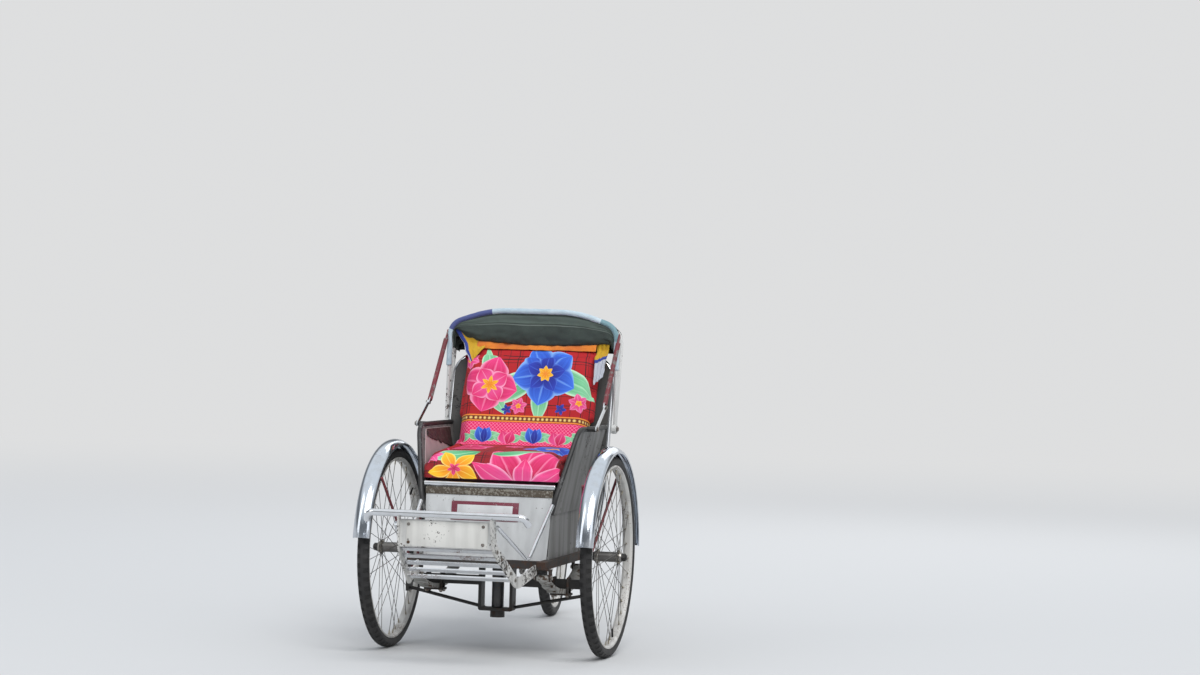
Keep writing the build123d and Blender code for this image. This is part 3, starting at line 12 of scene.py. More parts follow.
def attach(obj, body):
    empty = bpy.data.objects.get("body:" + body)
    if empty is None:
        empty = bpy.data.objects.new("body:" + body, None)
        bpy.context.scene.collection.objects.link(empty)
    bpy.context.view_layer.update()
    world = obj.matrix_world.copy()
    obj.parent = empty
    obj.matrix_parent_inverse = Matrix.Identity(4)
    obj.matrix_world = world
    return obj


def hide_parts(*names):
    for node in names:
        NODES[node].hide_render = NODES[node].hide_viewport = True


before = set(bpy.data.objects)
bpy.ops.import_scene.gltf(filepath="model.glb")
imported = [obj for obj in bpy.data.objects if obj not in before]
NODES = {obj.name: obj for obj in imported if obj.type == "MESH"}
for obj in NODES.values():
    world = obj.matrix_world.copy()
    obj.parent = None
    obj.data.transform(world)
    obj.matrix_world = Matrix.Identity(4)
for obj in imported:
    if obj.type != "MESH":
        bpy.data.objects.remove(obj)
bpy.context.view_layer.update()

bl_info = {
    "name": "Cycle rickshaw",
    "version": (1, 0, 0),
    "blender": (4, 5, 0),
    "location": "View3D > Sidebar > Rickshaw",
    "description": "Builds the soft goods, tyres, fasteners and finishes of a cycle rickshaw on its frame",
    "category": "Object",
}

# Places on the frame, in metres. The drawing's origin is under the front axle, and the frame's is further back.
AXLE_Y = -0.490504
TURN = radians(6.2)  # of the rear frame about the kingpin
WHEEL_R = 0.330
RIM_INNER_R = 0.289
TRACK_HALF = 0.369
REAR_Y = 1.330
PIVOT_Y, PIVOT_Z = 0.368, 0.735  # of the hood's bows
CANVAS_FOOT = 0.262  # height of the arch's foot over the pivot
ARM_X, ARM_Z, ARM_LEAN = 0.2133, 0.470, 0.2056  # inside of an arm, which leans outwards as it rises
PANEL_Y, PANEL_LEAN = -0.140, 0.183  # front panel, which leans forward as it goes down
LABEL_Z = 0.472
STAY_JOINT = (0.172, 0.812)  # y and z of the joint in a hood stay


def place(x, y, z):
    """A point of the carriage, from the drawing that has its origin under the front axle."""
    return Vector((x, y + AXLE_Y, z))


def waver(x, y, z):
    """Smooth noise from about -1 to 1 at a point."""
    return noise.noise(Vector((x, y, z)))


def share_of(value, low, high):
    """How far a value is on its way from low to high, held between nought and one."""
    return min(1.0, max(0.0, (value - low) / (high - low)))


REAR = Matrix.Translation((0, AXLE_Y, 0)) @ Matrix.Rotation(TURN, 4, "Z")
# Hubs: the flanges' distance from the middle, and the outline of a cap as (x, radius)
FRONT_HUB = (0.035, [(0.0300, 0.0172), (0.0420, 0.0172), (0.0462, 0.0150), (0.0464, 0.0087)])
REAR_HUB = (0.033, [(0.0460, 0.0140), (0.0540, 0.0140), (0.0560, 0.0128), (0.0564, 0.0057)])
# Wheels: place, body, plain tyre, the valve's turn in degrees and the hub
WHEELS = {
    "left": (Matrix.Translation(place(TRACK_HALF, 0, WHEEL_R)), "wheel_left", "front_tyre_left", 200, FRONT_HUB),
    "right": (Matrix.Translation(place(-TRACK_HALF, 0, WHEEL_R)), "wheel_right", "front_tyre_right", 310, FRONT_HUB),
    "rear": (REAR @ Matrix.Translation((0, REAR_Y, WHEEL_R)), "wheel_rear", "rear_tyre", 70, REAR_HUB),
}


# Sizes and colours that a user would change


class RickshawSizes(bpy.types.PropertyGroup):
    blanket_width: FloatProperty(
        name="Blanket width", description="Width of the blanket before it is laid", default=0.56, unit="LENGTH"
    )
    blanket_lift: FloatProperty(
        name="Blanket lift", description="Gap between the pads and the blanket", default=0.0045, unit="LENGTH"
    )
    pad_cap: FloatProperty(
        name="Pad swell", description="Furthest that a pad may swell from its solid", default=0.012, unit="LENGTH"
    )
    canvas_folds: IntProperty(name="Canvas steps", description="Steps along the hood's arch", default=120, min=24)
    piping_radius: FloatProperty(
        name="Piping radius", description="Radius of the hood's edge piping", default=0.0088, unit="LENGTH"
    )
    tread_steps: IntProperty(name="Tread steps", description="Steps of the tread round a tyre", default=132, min=48)


class RickshawColours(bpy.types.PropertyGroup):
    ground: FloatVectorProperty(
        name="Blanket ground",
        description="Red ground of the blanket",
        size=3,
        subtype="COLOR",
        default=(0.44, 0.004, 0.009),
    )
    canvas: FloatVectorProperty(
        name="Hood canvas", description="Colour of the hood", size=3, subtype="COLOR", default=(0.035, 0.05, 0.042)
    )
    piping: FloatVectorProperty(
        name="Hood piping", description="Colour of the hood's edge", size=3, subtype="COLOR", default=(0.34, 0.47, 0.55)
    )
    stay: FloatVectorProperty(
        name="Stays", description="Dark red of the stays", size=3, subtype="COLOR", default=(0.17, 0.012, 0.022)
    )
    floor: FloatVectorProperty(
        name="Floor", description="Colour of the studio floor", size=3, subtype="COLOR", default=(0.61, 0.61, 0.605)
    )


# Shader helpers


class Wire:
    """A shader node's output. Adding it, multiplying it and so on makes Math nodes."""

    def __init__(self, source, output=0):
        self.source, self.output, self.tree = source, output, source.id_data

    def __add__(self, other):
        return maths("ADD", self, other)

    def __sub__(self, other):
        return maths("SUBTRACT", self, other)

    def __rsub__(self, other):
        return maths("SUBTRACT", other, self)

    def __mul__(self, other):
        return maths("MULTIPLY", self, other)

    def __truediv__(self, other):
        return maths("DIVIDE", self, other)

    def __rtruediv__(self, other):
        return maths("DIVIDE", other, self)

    def __mod__(self, other):
        return maths("FLOORED_MODULO", self, other)

    def __abs__(self):
        return maths("ABSOLUTE", self)

    def held(self):
        """The same wire, whose Math node holds it between nought and one."""
        self.source.use_clamp = True
        return self


def feed(value, socket):
    """Puts a wire, a number or a colour into a socket."""
    if isinstance(value, Wire):
        value.tree.links.new(value.source.outputs[value.output], socket)
    elif socket.type == "RGBA":
        socket.default_value = (*value[:3], 1.0)
    else:
        socket.default_value = value


def node(tree, kind, **values):
    """A new shader node. Keys are the node's settings, or inputs when they start with in_."""
    made = tree.nodes.new("ShaderNode" + kind)
    for key, value in values.items():
        if key.startswith("in_"):
            feed(value, made.inputs[key[3:].replace("_", " ")])
        else:
            setattr(made, key, value)
    return made


def read(tree, kind, output=0, **values):
    """The output of a new shader node."""
    return Wire(node(tree, kind, **values), output)


def join(tree, kind, values, slots=(0, 1, 2), output=0, **settings):
    """The output of a new shader node whose inputs are filled by their numbers."""
    made = node(tree, kind, **settings)
    for value, slot in zip(values, slots):
        feed(value, made.inputs[slot])
    return Wire(made, output)


def maths(operation, *values):
    """The output of a Math node on wires and numbers."""
    tree = next(value.tree for value in values if isinstance(value, Wire))
    return join(tree, "Math", values, operation=operation)


def mix(factor, first, second):
    """A mix of two colours by a wire."""
    return join(factor.tree, "Mix", (factor, first, second), (0, 6, 7), 2, data_type="RGBA")


def ramp(value, low, high, kind="LINEAR"):
    """A wire mapped so that low gives nought and high gives one."""
    return read(
        value.tree, "MapRange", clamp=True, interpolation_type=kind, in_Value=value, in_From_Min=low, in_From_Max=high
    )


def cloudy(where, scale, detail, **more):
    """A noise texture at a place."""
    return read(where.tree, "TexNoise", in_Vector=where, in_Scale=scale, in_Detail=detail, **more)


def axes(where):
    """The three numbers of a place."""
    parts = node(where.tree, "SeparateXYZ", in_Vector=where)
    return [Wire(parts, number) for number in range(3)]


def object_place(tree):
    """A surface's place in metres."""
    return read(tree, "TexCoord", "Object")


def cloth_place(tree):
    """A cloth's own map in metres, whose second axis runs down from its top edge."""
    return read(tree, "UVMap", uv_map="cloth")


def build_group(name, outputs, inputs, draw):
    """A shader node group. Inputs are colours where they hold three numbers, and vectors where they hold none."""
    tree = bpy.data.node_groups.new(name, "ShaderNodeTree")
    for label, value in inputs.items():
        kind = "Vector" if value is None else "Color" if isinstance(value, tuple) else "Float"
        label = label.replace("_", " ")
        socket = tree.interface.new_socket(label, in_out="INPUT", socket_type="NodeSocket" + kind)
        if value is not None:
            socket.default_value = (*value, 1.0) if kind == "Color" else value
    for label in outputs:
        kind = "NodeSocketColor" if label == "Color" else "NodeSocketFloat"
        tree.interface.new_socket(label, in_out="OUTPUT", socket_type=kind)
    start, end = tree.nodes.new("NodeGroupInput"), tree.nodes.new("NodeGroupOutput")
    results = draw(tree, *(Wire(start, number) for number in range(len(inputs))))
    for wire, socket in zip(results, end.inputs):
        feed(wire, socket)
    return tree


def effect(name, outputs, **inputs):
    """Makes a function that draws an effect into one that places it, as a node group built once for all."""

    def wrap(draw):
        def put(tree, **values):
            source = bpy.data.node_groups.get(name) or build_group(name, outputs.split(), inputs, draw)
            made = node(tree, "Group", node_tree=source, **{"in_" + key: value for key, value in values.items()})
            return [Wire(made, number) for number in range(len(made.outputs))]

        return put

    return wrap


@effect(
    "Worn paint",
    "Color Roughness Metallic Height",
    Paint=(0.8, 0.8, 0.8),
    Under=(0.12, 0.06, 0.03),
    Grime=(0.05, 0.045, 0.04),
    Chip_Scale=60.0,
    Chip_Amount=0.2,
    Grime_Amount=0.3,
    Gloss=0.35,
)
def worn_paint(tree, paint, under, grime, chip_scale, chips, grime_amount, gloss):
    """Paint with chips down to metal or rust, streaks and grime."""
    where = object_place(tree)
    patch = cloudy(where, 7.0, 3.0)
    chip = cloudy(where, chip_scale, 6.0, in_Roughness=0.62) * (patch + 0.5) - (0.74 - chips * 0.34)
    chip = (chip * 28.0).held()
    streak = cloudy(read(tree, "Mapping", in_Vector=where, in_Scale=(26.0, 26.0, 2.6)), 1.0, 4.0)
    dirt = ramp(streak, 0.42, 0.78) * grime_amount
    speckle = cloudy(where, 420.0, 2.0)
    shade = read(tree, "HueSaturation", in_Saturation=0.95, in_Value=patch * 0.3 + 0.83, in_Color=paint)
    bare = read(tree, "HueSaturation", in_Value=speckle + 0.4, in_Color=under)
    rough = maths("MAXIMUM", gloss + patch * 0.16 + dirt * 0.3, chip * 0.8).held()
    return mix(chip, mix(dirt, shade, grime), bare), rough, chip * 0.25, speckle * 0.12 - chip


@effect(
    "Pitted chrome",
    "Color Roughness Metallic Height",
    Metal=(0.72, 0.74, 0.77),
    Rust=(0.11, 0.045, 0.02),
    Rust_Amount=0.3,
    Dull=0.1,
)
def pitted_chrome(tree, metal, rust, rust_amount, dull):
    """Plated steel with dulled patches and rust pits."""
    where = object_place(tree)
    area = cloudy(where, 9.0, 5.0, in_Roughness=0.6)
    pits = cloudy(where, 260.0, 3.0, in_Roughness=0.7)
    film = ramp(cloudy(where, 34.0, 4.0), 0.45, 0.8)
    rusted = ((area * 0.75 + pits * 0.6 - (0.93 - rust_amount * 0.3)) * 14.0).held()
    colour = mix(rusted, mix(film * 0.35, metal, (0.42, 0.41, 0.39)), rust)
    rough = maths("MAXIMUM", dull + film * 0.16, rusted * 0.85)
    return colour, rough, 1.0 - rusted * 0.85, rusted * (pits + 0.3)


@effect("Road dust", "Color", Color=(0.5, 0.5, 0.5), Dust=(0.20, 0.17, 0.14), Amount=0.4, Top=0.45)
def road_dust(tree, colour, dust, amount, top):
    """Pale dust that lies thicker low down."""
    where = object_place(tree)
    low = (1.0 - axes(where)[2] / top).held()
    mask = (ramp(cloudy(where, 18.0, 6.0), 0.3, 0.75) * (low + 0.15) * amount).held()
    return [mix(mask, colour, dust)]


@effect("Cloth weave", "Height Mask", Vector=None, Thread=900.0, Nap=0.4)
def cloth_weave(tree, where, thread, nap):
    """Crossed threads and soft nap on a cloth's own map."""
    x, y, _ = axes(where)
    threads = abs(maths("SINE", x * thread)) * abs(maths("SINE", y * thread))
    fibre = cloudy(where, 520.0, 3.0)
    return threads + fibre * nap, fibre


@effect(
    "Petals",
    "Color",
    Under=(1.0, 1.0, 1.0),
    Vector=None,
    X=0.0,
    Y=0.0,
    Angle=0.0,
    Length=0.05,
    Width=0.02,
    Shape=1.0,
    Bend=0.0,
    Count=1.0,
    Inner=(1.0, 1.0, 1.0),
    Outer=(0.8, 0.1, 0.2),
    Rim=(1.0, 0.8, 0.9),
)
def petals(tree, under, where, x, y, angle, length, width, shape, bend, count, inner, outer, rim):
    """Petals or leaves round a point, laid over a colour. One petal makes a leaf, more make a flower."""
    across, down, _ = axes(where)
    dx, dy = across - x, down - y
    far = maths("SQRT", dx * dx + dy * dy)
    step = 2 * pi / count
    half = step * 0.5
    fold = (maths("ARCTAN2", dy, dx) - angle + half) % step - half
    out = far * maths("COSINE", fold)
    share = (out / length).held()
    side = far * maths("SINE", fold) - bend * (share * share)
    wide = maths("SINE", maths("POWER", share, shape) * pi) * width * 0.5 + 1e-5
    off = abs(side)
    mask = ((wide - off) * 900.0).held() * maths("GREATER_THAN", out, 0.0)
    edge = (off / wide).held()
    # Made before what feeds it, as the other order takes more room than Cycles has for a material
    vein = read(tree, "TexNoise", noise_dimensions="1D", in_Scale=1.0, in_Detail=2.0)
    feed(side / wide * 8.0 + share * 1.5, vein.source.inputs["W"])
    colour = mix((maths("POWER", share, 1.3) + (vein - 0.5) * 0.9).held(), inner, outer)
    colour = mix(ramp(edge, 0.70, 0.98, "SMOOTHSTEP") * 0.8, colour, rim)
    colour = mix(maths("LESS_THAN", edge, 0.06) * 0.35, colour, rim)
    return [mix(mask, under, colour)]


@effect("Stripe", "Mask", Value=0.0, Period=0.05, Offset=0.0, Width=0.002)
def stripe(tree, value, period, offset, width):
    """A band of given width, repeated at a period, as a mask."""
    reach = abs((value - offset) / period % 1.0 - 0.5) * period
    return [((width * 0.5 - reach) * 2500.0).held()]


def new_material(name):
    """A material with its shader and output. Gives the material, its tree and the shader."""
    made = bpy.data.materials.new(name)
    made.use_nodes = True
    tree = made.node_tree
    tree.nodes.clear()
    shader = node(tree, "BsdfPrincipled")
    node(tree, "OutputMaterial", in_Surface=Wire(shader))
    return made, tree, shader


def dress(shader, height, strength, distance, **inputs):
    """Fills a shader's inputs, and gives it relief from a height."""
    relief = read(shader.id_data, "Bump", in_Height=height, in_Strength=strength, in_Distance=distance)
    for key, value in {**inputs, "Normal": relief}.items():
        feed(value, shader.inputs[key.replace("_", " ")])


def dress_dusty(shader, worn, dust, top, strength, distance):
    """Puts a worn finish on a shader, under road dust that thins out towards its top."""
    colour, rough, metallic, height = worn
    (colour,) = road_dust(shader.id_data, Color=colour, Amount=dust, Top=top)
    dress(shader, height, strength, distance, Base_Color=colour, Roughness=rough, Metallic=metallic)


def painted(name, paint, under, chips=0.2, grime=0.3, gloss=0.35, scale=60.0, dust=0.3):
    """A worn paint finish."""
    made, tree, shader = new_material(name)
    worn = worn_paint(
        tree, Paint=paint, Under=under, Chip_Scale=scale, Chip_Amount=chips, Grime_Amount=grime, Gloss=gloss
    )
    dress_dusty(shader, worn, dust, 0.45, 0.35, 0.0006)
    return made


def plated(name, rust=0.3, dull=0.1, metal=(0.72, 0.74, 0.77), dust=0.12):
    """A chromed finish."""
    made, tree, shader = new_material(name)
    dress_dusty(shader, pitted_chrome(tree, Metal=metal, Rust_Amount=rust, Dull=dull), dust, 0.5, 0.5, 0.0004)
    return made


def rubber(name):
    """Dusty black rubber."""
    made, tree, shader = new_material(name)
    where = object_place(tree)
    cloud = cloudy(where, 24.0, 5.0)
    tone = mix(ramp(cloud, 0.35, 0.8), (0.007, 0.007, 0.0075), (0.0135, 0.0135, 0.01425))
    (dusty,) = road_dust(tree, Color=tone, Dust=(0.12, 0.11, 0.10), Amount=0.2, Top=0.9)
    dress(shader, cloudy(where, 700.0, 3.0), 0.25, 0.0004, Base_Color=dusty, Roughness=cloud * 0.25 + 0.55)
    return made


def cloth(name, colour, second, thread=1400.0, sheen=0.25, folds=0.5, bands=(), wash=0.1):
    """A woven cloth of two mottled colours. Bands are (from, to, colour) down the cloth."""
    made, tree, shader = new_material(name)
    where = cloth_place(tree)
    height, nap = cloth_weave(tree, Vector=where, Thread=thread, Nap=0.7)
    tone = mix(ramp(cloudy(where, 11.0, 6.0, in_Roughness=0.6), 0.35, 0.75), colour, second)
    down = axes(where)[1]
    for low, high, shade in bands:
        tone = mix(ramp(down, low - 0.001, low + 0.001) * ramp(down, high + 0.001, high - 0.001), tone, shade)
    dress(
        shader,
        cloudy(where, 26.0, 5.0) * (folds * 4) + height,
        0.5,
        0.0008,
        Base_Color=mix(nap * wash, tone, (0.9, 0.9, 0.88)),
        Roughness=0.82,
        Sheen_Weight=sheen,
        Sheen_Roughness=0.45,
        Specular_IOR_Level=0.3,
    )
    return made


# Blanket print, in metres on the blanket's own map. A motif is (x, y, angle, length, width, shape, bend, count,
# colours), and a bud (x, distance up from the lattice's foot, angle, length, width, colours). The colours are a
# petal's inner, outer and rim.
LEAF = ((0.05, 0.34, 0.13), (0.32, 0.72, 0.42), (0.62, 0.88, 0.64))
BLUE = ((0.01, 0.03, 0.36), (0.04, 0.17, 0.76), (0.26, 0.52, 0.92))
PINK = ((0.52, 0.004, 0.06), (0.86, 0.05, 0.24), (0.92, 0.38, 0.56))
ROSE = ((0.80, 0.09, 0.30), (0.74, 0.015, 0.14), (0.95, 0.45, 0.64))
STAR = ((0.70, 0.02, 0.16), (0.85, 0.14, 0.36), (0.95, 0.58, 0.74))
GOLD = ((0.80, 0.20, 0.005), (0.95, 0.58, 0.015), (0.98, 0.82, 0.22))
DEEP = ((0.005, 0.01, 0.20), (0.02, 0.05, 0.46), (0.07, 0.17, 0.68))

BACK_MOTIFS = [
    (0.055, 0.160, 2.72, 0.250, 0.096, 0.90, -0.02, 1, LEAF),
    (0.060, 0.150, 0.35, 0.215, 0.086, 0.90, 0.02, 1, LEAF),
    (-0.110, 0.200, -1.95, 0.150, 0.060, 0.9, 0.01, 1, LEAF),
    (0.060, 0.190, 1.75, 0.150, 0.062, 0.9, -0.02, 1, LEAF),
    (-0.130, 0.215, 0.95, 0.118, 0.050, 0.9, 0.0, 1, LEAF),
    (0.062, 0.160, 0.45, 0.116, 0.106, 1.15, 0.0, 5, BLUE),
    (0.062, 0.160, 1.05, 0.070, 0.054, 1.10, 0.0, 5, DEEP),
    (0.062, 0.160, 0.20, 0.030, 0.018, 0.9, 0.0, 7, GOLD),
    (-0.128, 0.205, 0.20, 0.100, 0.104, 1.10, 0.0, 4, PINK),
    (-0.128, 0.205, 0.98, 0.068, 0.064, 1.10, 0.0, 4, ROSE),
    (-0.128, 0.205, 0.60, 0.034, 0.016, 0.9, 0.0, 6, GOLD),
    (0.186, 0.262, 0.30, 0.036, 0.024, 1.0, 0.0, 6, STAR),
    (0.186, 0.262, 0.30, 0.012, 0.009, 1.0, 0.0, 5, GOLD),
    (-0.020, 0.278, 0.80, 0.032, 0.021, 1.0, 0.0, 6, STAR),
    (-0.020, 0.278, 0.80, 0.011, 0.008, 1.0, 0.0, 5, GOLD),
    (0.128, 0.286, 0.10, 0.022, 0.013, 1.0, 0.0, 5, DEEP),
    (-0.060, 0.292, 0.60, 0.020, 0.012, 1.0, 0.0, 5, DEEP),
    (-0.205, 0.118, 0.30, 0.034, 0.023, 1.0, 0.0, 6, STAR),
    (-0.205, 0.118, 0.30, 0.011, 0.008, 1.0, 0.0, 5, GOLD),
]
BEADS_Y, BEAD_PERIOD = 0.324, 0.0155
PLAID_PERIOD, PLAID_LINES = 0.078, ((0.000, 0.0035), (0.009, 0.0018), (0.045, 0.0022))  # lines as (offset, width)
LATTICE_PERIOD = 0.0125
LATTICE = (0.338, 0.425)
BUD_PERIOD = 0.176
BUDS = [
    (0.045, 0.024, -2.70, 0.066, 0.038, LEAF),
    (0.045, 0.024, -0.40, 0.062, 0.038, LEAF),
    (0.045, 0.010, -1.90, 0.064, 0.042, BLUE),
    (0.045, 0.010, -1.25, 0.062, 0.042, BLUE),
    (0.048, 0.010, -1.57, 0.058, 0.026, DEEP),
    (0.130, 0.020, -2.75, 0.056, 0.034, LEAF),
    (0.130, 0.020, -0.35, 0.054, 0.034, LEAF),
    (0.126, 0.006, -1.85, 0.054, 0.046, ROSE),
    (0.132, 0.006, -1.30, 0.052, 0.042, PINK),
]
SEAT_MOTIFS = [
    (0.110, 0.868, -1.57, 0.205, 0.120, 0.8, 0.03, 1, PINK),
    (0.095, 0.868, -2.15, 0.215, 0.110, 0.8, 0.02, 1, PINK),
    (0.120, 0.868, -0.98, 0.205, 0.110, 0.8, -0.02, 1, PINK),
    (0.090, 0.872, -2.70, 0.190, 0.075, 0.8, 0.02, 1, ROSE),
    (0.125, 0.872, -0.46, 0.160, 0.070, 0.8, -0.02, 1, ROSE),
    (0.108, 0.880, -1.57, 0.130, 0.066, 0.9, 0.0, 1, ROSE),
    (-0.050, 0.720, 2.85, 0.190, 0.070, 0.9, 0.02, 1, LEAF),
    (-0.010, 0.730, -0.30, 0.180, 0.064, 0.9, 0.0, 1, LEAF),
    (-0.125, 0.805, 0.30, 0.088, 0.052, 1.1, 0.01, 5, GOLD),
    (-0.125, 0.805, 0.30, 0.026, 0.016, 1.0, 0.0, 5, PINK),
    (-0.215, 0.745, 0.90, 0.044, 0.030, 1.0, 0.0, 6, STAR),
    (0.150, 0.560, 0.30, 0.100, 0.084, 1.1, 0.0, 5, BLUE),
    (0.150, 0.560, 0.30, 0.028, 0.016, 1.1, 0.0, 6, GOLD),
    (-0.130, 0.580, 0.80, 0.086, 0.076, 1.1, 0.0, 5, PINK),
    (0.010, 0.520, 0.30, 0.036, 0.024, 1.0, 0.0, 6, STAR),
]


def petals_over(under, where, paint, x, y, angle, length, width, shape=1.0, bend=0.0, count=1):
    """A motif laid over a colour."""
    sizes = {"X": x, "Y": y, "Angle": angle, "Length": length, "Width": width, "Shape": shape, "Bend": bend}
    inner, outer, rim = paint
    (laid,) = petals(where.tree, Under=under, Vector=where, Count=count, Inner=inner, Outer=outer, Rim=rim, **sizes)
    return laid


def blanket_material():
    """The printed blanket: flowers on a plaid ground, a bead band, a lattice and large petals on the seat."""
    made, tree, shader = new_material("Printed blanket")
    where = cloth_place(tree)
    x, y, _ = axes(where)
    colour = mix(ramp(y, 0.45, 0.75), bpy.context.scene.rickshaw_colours.ground, (0.27, 0.003, 0.008))
    for value in (x, y):
        for offset, width in PLAID_LINES:
            (line,) = stripe(tree, Value=value, Period=PLAID_PERIOD, Offset=offset, Width=width)
            colour = mix(line * 0.93, colour, (0.016, 0.002, 0.005))
    for *spot, paint in BACK_MOTIFS + SEAT_MOTIFS:
        colour = petals_over(colour, where, paint, *spot)

    low, high = LATTICE
    net = (0.80, 0.012, 0.13)
    for value in (x + y, x - y):
        (line,) = stripe(tree, Value=value, Period=LATTICE_PERIOD, Offset=0.0, Width=0.0026)
        net = mix(line * 0.75, net, (0.96, 0.30, 0.48))
    repeat = read(tree, "CombineXYZ", in_X=x % BUD_PERIOD, in_Y=y)
    for bud_x, up, *spot, paint in BUDS:
        net = petals_over(net, repeat, paint, bud_x, high - up, *spot)
    colour = mix(maths("GREATER_THAN", y, low) * maths("LESS_THAN", y, high), colour, net)

    bead_x, bead_y = x % BEAD_PERIOD - BEAD_PERIOD / 2, y - BEADS_Y
    far = maths("SQRT", bead_x * bead_x + bead_y * bead_y)
    colour = mix(maths("LESS_THAN", abs(bead_y), 0.012), colour, (0.16, 0.02, 0.01))
    colour = mix(maths("LESS_THAN", abs(abs(bead_y) - 0.0098), 0.0022), colour, (0.85, 0.28, 0.03))
    gold = mix(ramp(far, 0.0, 0.006), (0.98, 0.80, 0.30), (0.42, 0.20, 0.02))
    colour = mix(((0.0058 - far) * 1500.0).held(), colour, gold)
    height, nap = cloth_weave(tree, Vector=where, Thread=1800.0, Nap=1.0)
    dress(
        shader,
        height,
        0.35,
        0.0005,
        Base_Color=mix(nap * 0.035, colour, (0.95, 0.90, 0.90)),
        Roughness=0.78,
        Sheen_Weight=0.04,
        Sheen_Roughness=0.4,
        Specular_IOR_Level=0.22,
    )
    return made


# Mesh helpers

WASHER = 0.0012  # thickness


def add_object(name, data):
    """A new object in the scene."""
    made = bpy.data.objects.new(name, data)
    bpy.context.scene.collection.objects.link(made)
    return made


def finish_piece(name, shape, material, body, crease=38.0):
    """A piece from a bmesh or a mesh, shaded, given its material and put on its body."""
    mesh = shape
    if isinstance(shape, bmesh.types.BMesh):
        mesh = bpy.data.meshes.new(name)
        shape.to_mesh(mesh)
        shape.free()
    mesh.name = name
    piece = add_object(name, mesh)
    mesh.materials.clear()
    mesh.materials.append(material)
    mesh.shade_smooth()
    mesh.set_sharp_from_angle(angle=radians(crease))
    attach(piece, body)
    return piece


def soften(bm, edges, width):
    """Bevels edges."""
    bmesh.ops.bevel(bm, geom=edges, offset=width, affect="EDGES", segments=2, profile=0.5, material=-1)


def add_cylinder(bm, start, end, radius, top=None, segments=12, bevel=0.0):
    """A closed cylinder or cone between two points."""
    start, end = Vector(start), Vector(end)
    run = end - start
    made = bmesh.ops.create_cone(
        bm,
        cap_ends=True,
        segments=segments,
        radius1=radius,
        radius2=radius if top is None else top,
        depth=run.length,
        matrix=Matrix.Translation((start + end) / 2) @ run.to_track_quat("Z", "Y").to_matrix().to_4x4(),
    )
    if bevel:
        edges = {e for v in made["verts"] for e in v.link_edges}
        soften(bm, [e for e in edges if any(len(f.verts) > 4 for f in e.link_faces)], bevel)


def add_bolt(bm, spot, direction, radius, height):
    """A hexagon head on its washer, standing on a surface."""
    out = Vector(direction).normalized()
    base = spot + out * WASHER
    add_cylinder(bm, spot, base, radius * 1.5, segments=16)
    add_cylinder(bm, base, base + out * height, radius, segments=6, bevel=radius * 0.14)


def add_box(bm, centre, size, bevel, turn=Matrix.Identity(4)):
    """A box with softened edges."""
    spot = Matrix.Translation(centre) @ turn @ Matrix.Diagonal((*size, 1.0))
    made = bmesh.ops.create_cube(bm, size=1.0, matrix=spot)
    soften(bm, list({e for v in made["verts"] for e in v.link_edges}), bevel)


def spin_outline(bm, outline, steps, closed=False):
    """Turns a line of (x, radius) points once round the X axis."""
    row = [bm.verts.new((x, 0, r)) for x, r in outline]
    edges = [bm.edges.new(pair) for pair in zip(row, row[1:] + row[:closed])]
    about_x = {"cent": (0, 0, 0), "axis": (1, 0, 0), "dvec": (0, 0, 0)}
    bmesh.ops.spin(bm, geom=row + edges, angle=2 * pi, steps=steps, use_merge=True, **about_x)


def smooth_once(bm):
    bmesh.ops.smooth_vert(bm, verts=bm.verts, factor=0.5, use_axis_x=True, use_axis_y=True, use_axis_z=True)


def set_map(bm, coordinates):
    """The cloth map of a bmesh, from a dictionary of vertex to (x, y)."""
    layer = bm.loops.layers.uv.new("cloth")
    for face in bm.faces:
        for corner in face.loops:
            corner[layer].uv = coordinates[corner.vert]


def thicken(piece, thickness, offset=0.0):
    """A live thickness on a sheet."""
    wall = piece.modifiers.new("Thickness", "SOLIDIFY")
    wall.thickness = thickness
    wall.offset = offset
    wall.use_even_offset = False


def grid_sheet(bm, columns, rows):
    """A grid of columns by rows quads. Gives each vertex with its share of the way across and up."""
    bmesh.ops.create_grid(bm, x_segments=columns, y_segments=rows, size=0.5)
    return [(v, v.co.x + 0.5, v.co.y + 0.5) for v in bm.verts]


def lay_sheet(name, steps, spot, thickness, material, slot, flat, held, rests_on):
    """A cloth sheet of given thickness. spot gives a vertex's place and its place on the cloth's map from its two
    shares.
    """
    bm = bmesh.new()
    coordinates = {}
    for vertex, u, v in grid_sheet(bm, *steps):
        vertex.co, coordinates[vertex] = spot(u, v)
    set_map(bm, coordinates)
    area = sum(face.calc_area() for face in bm.faces)
    piece = finish_piece(name, bm, material, "carriage", crease=180)
    thicken(piece, thickness)
    min(area, flat[0] * flat[1])
    return piece


def lengths_along(points):
    """How far each point lies along an open line."""
    lengths = [0.0]
    for a, b in zip(points, points[1:]):
        lengths.append(lengths[-1] + (b - a).length)
    return lengths


# Camera, light and floor

BACKDROP = (0.73, 0.735, 0.74)
# Camera fitted to the photograph: its stand about the front axle, the way it looks in degrees, and its lens
CAMERA_AZIMUTH, CAMERA_DISTANCE, CAMERA_HEIGHT = radians(14.8925), 10.0688, 1.0926
CAMERA_LOOK = (14.8925 - 1.7861, 0.2661, 1.5416)
FOCAL_PIXELS, PHOTO_PIXELS, SENSOR = 3052.447, 1200, 36.0


def looked_at(tree):
    """One for rays that look at the backdrop, straight or by way of metal or glass, and nought for the light's."""
    paths = node(tree, "LightPath")
    camera, glossy, through = (Wire(paths, f"Is {kind} Ray") for kind in ("Camera", "Glossy", "Transmission"))
    return maths("MAXIMUM", maths("MAXIMUM", camera, glossy), through)


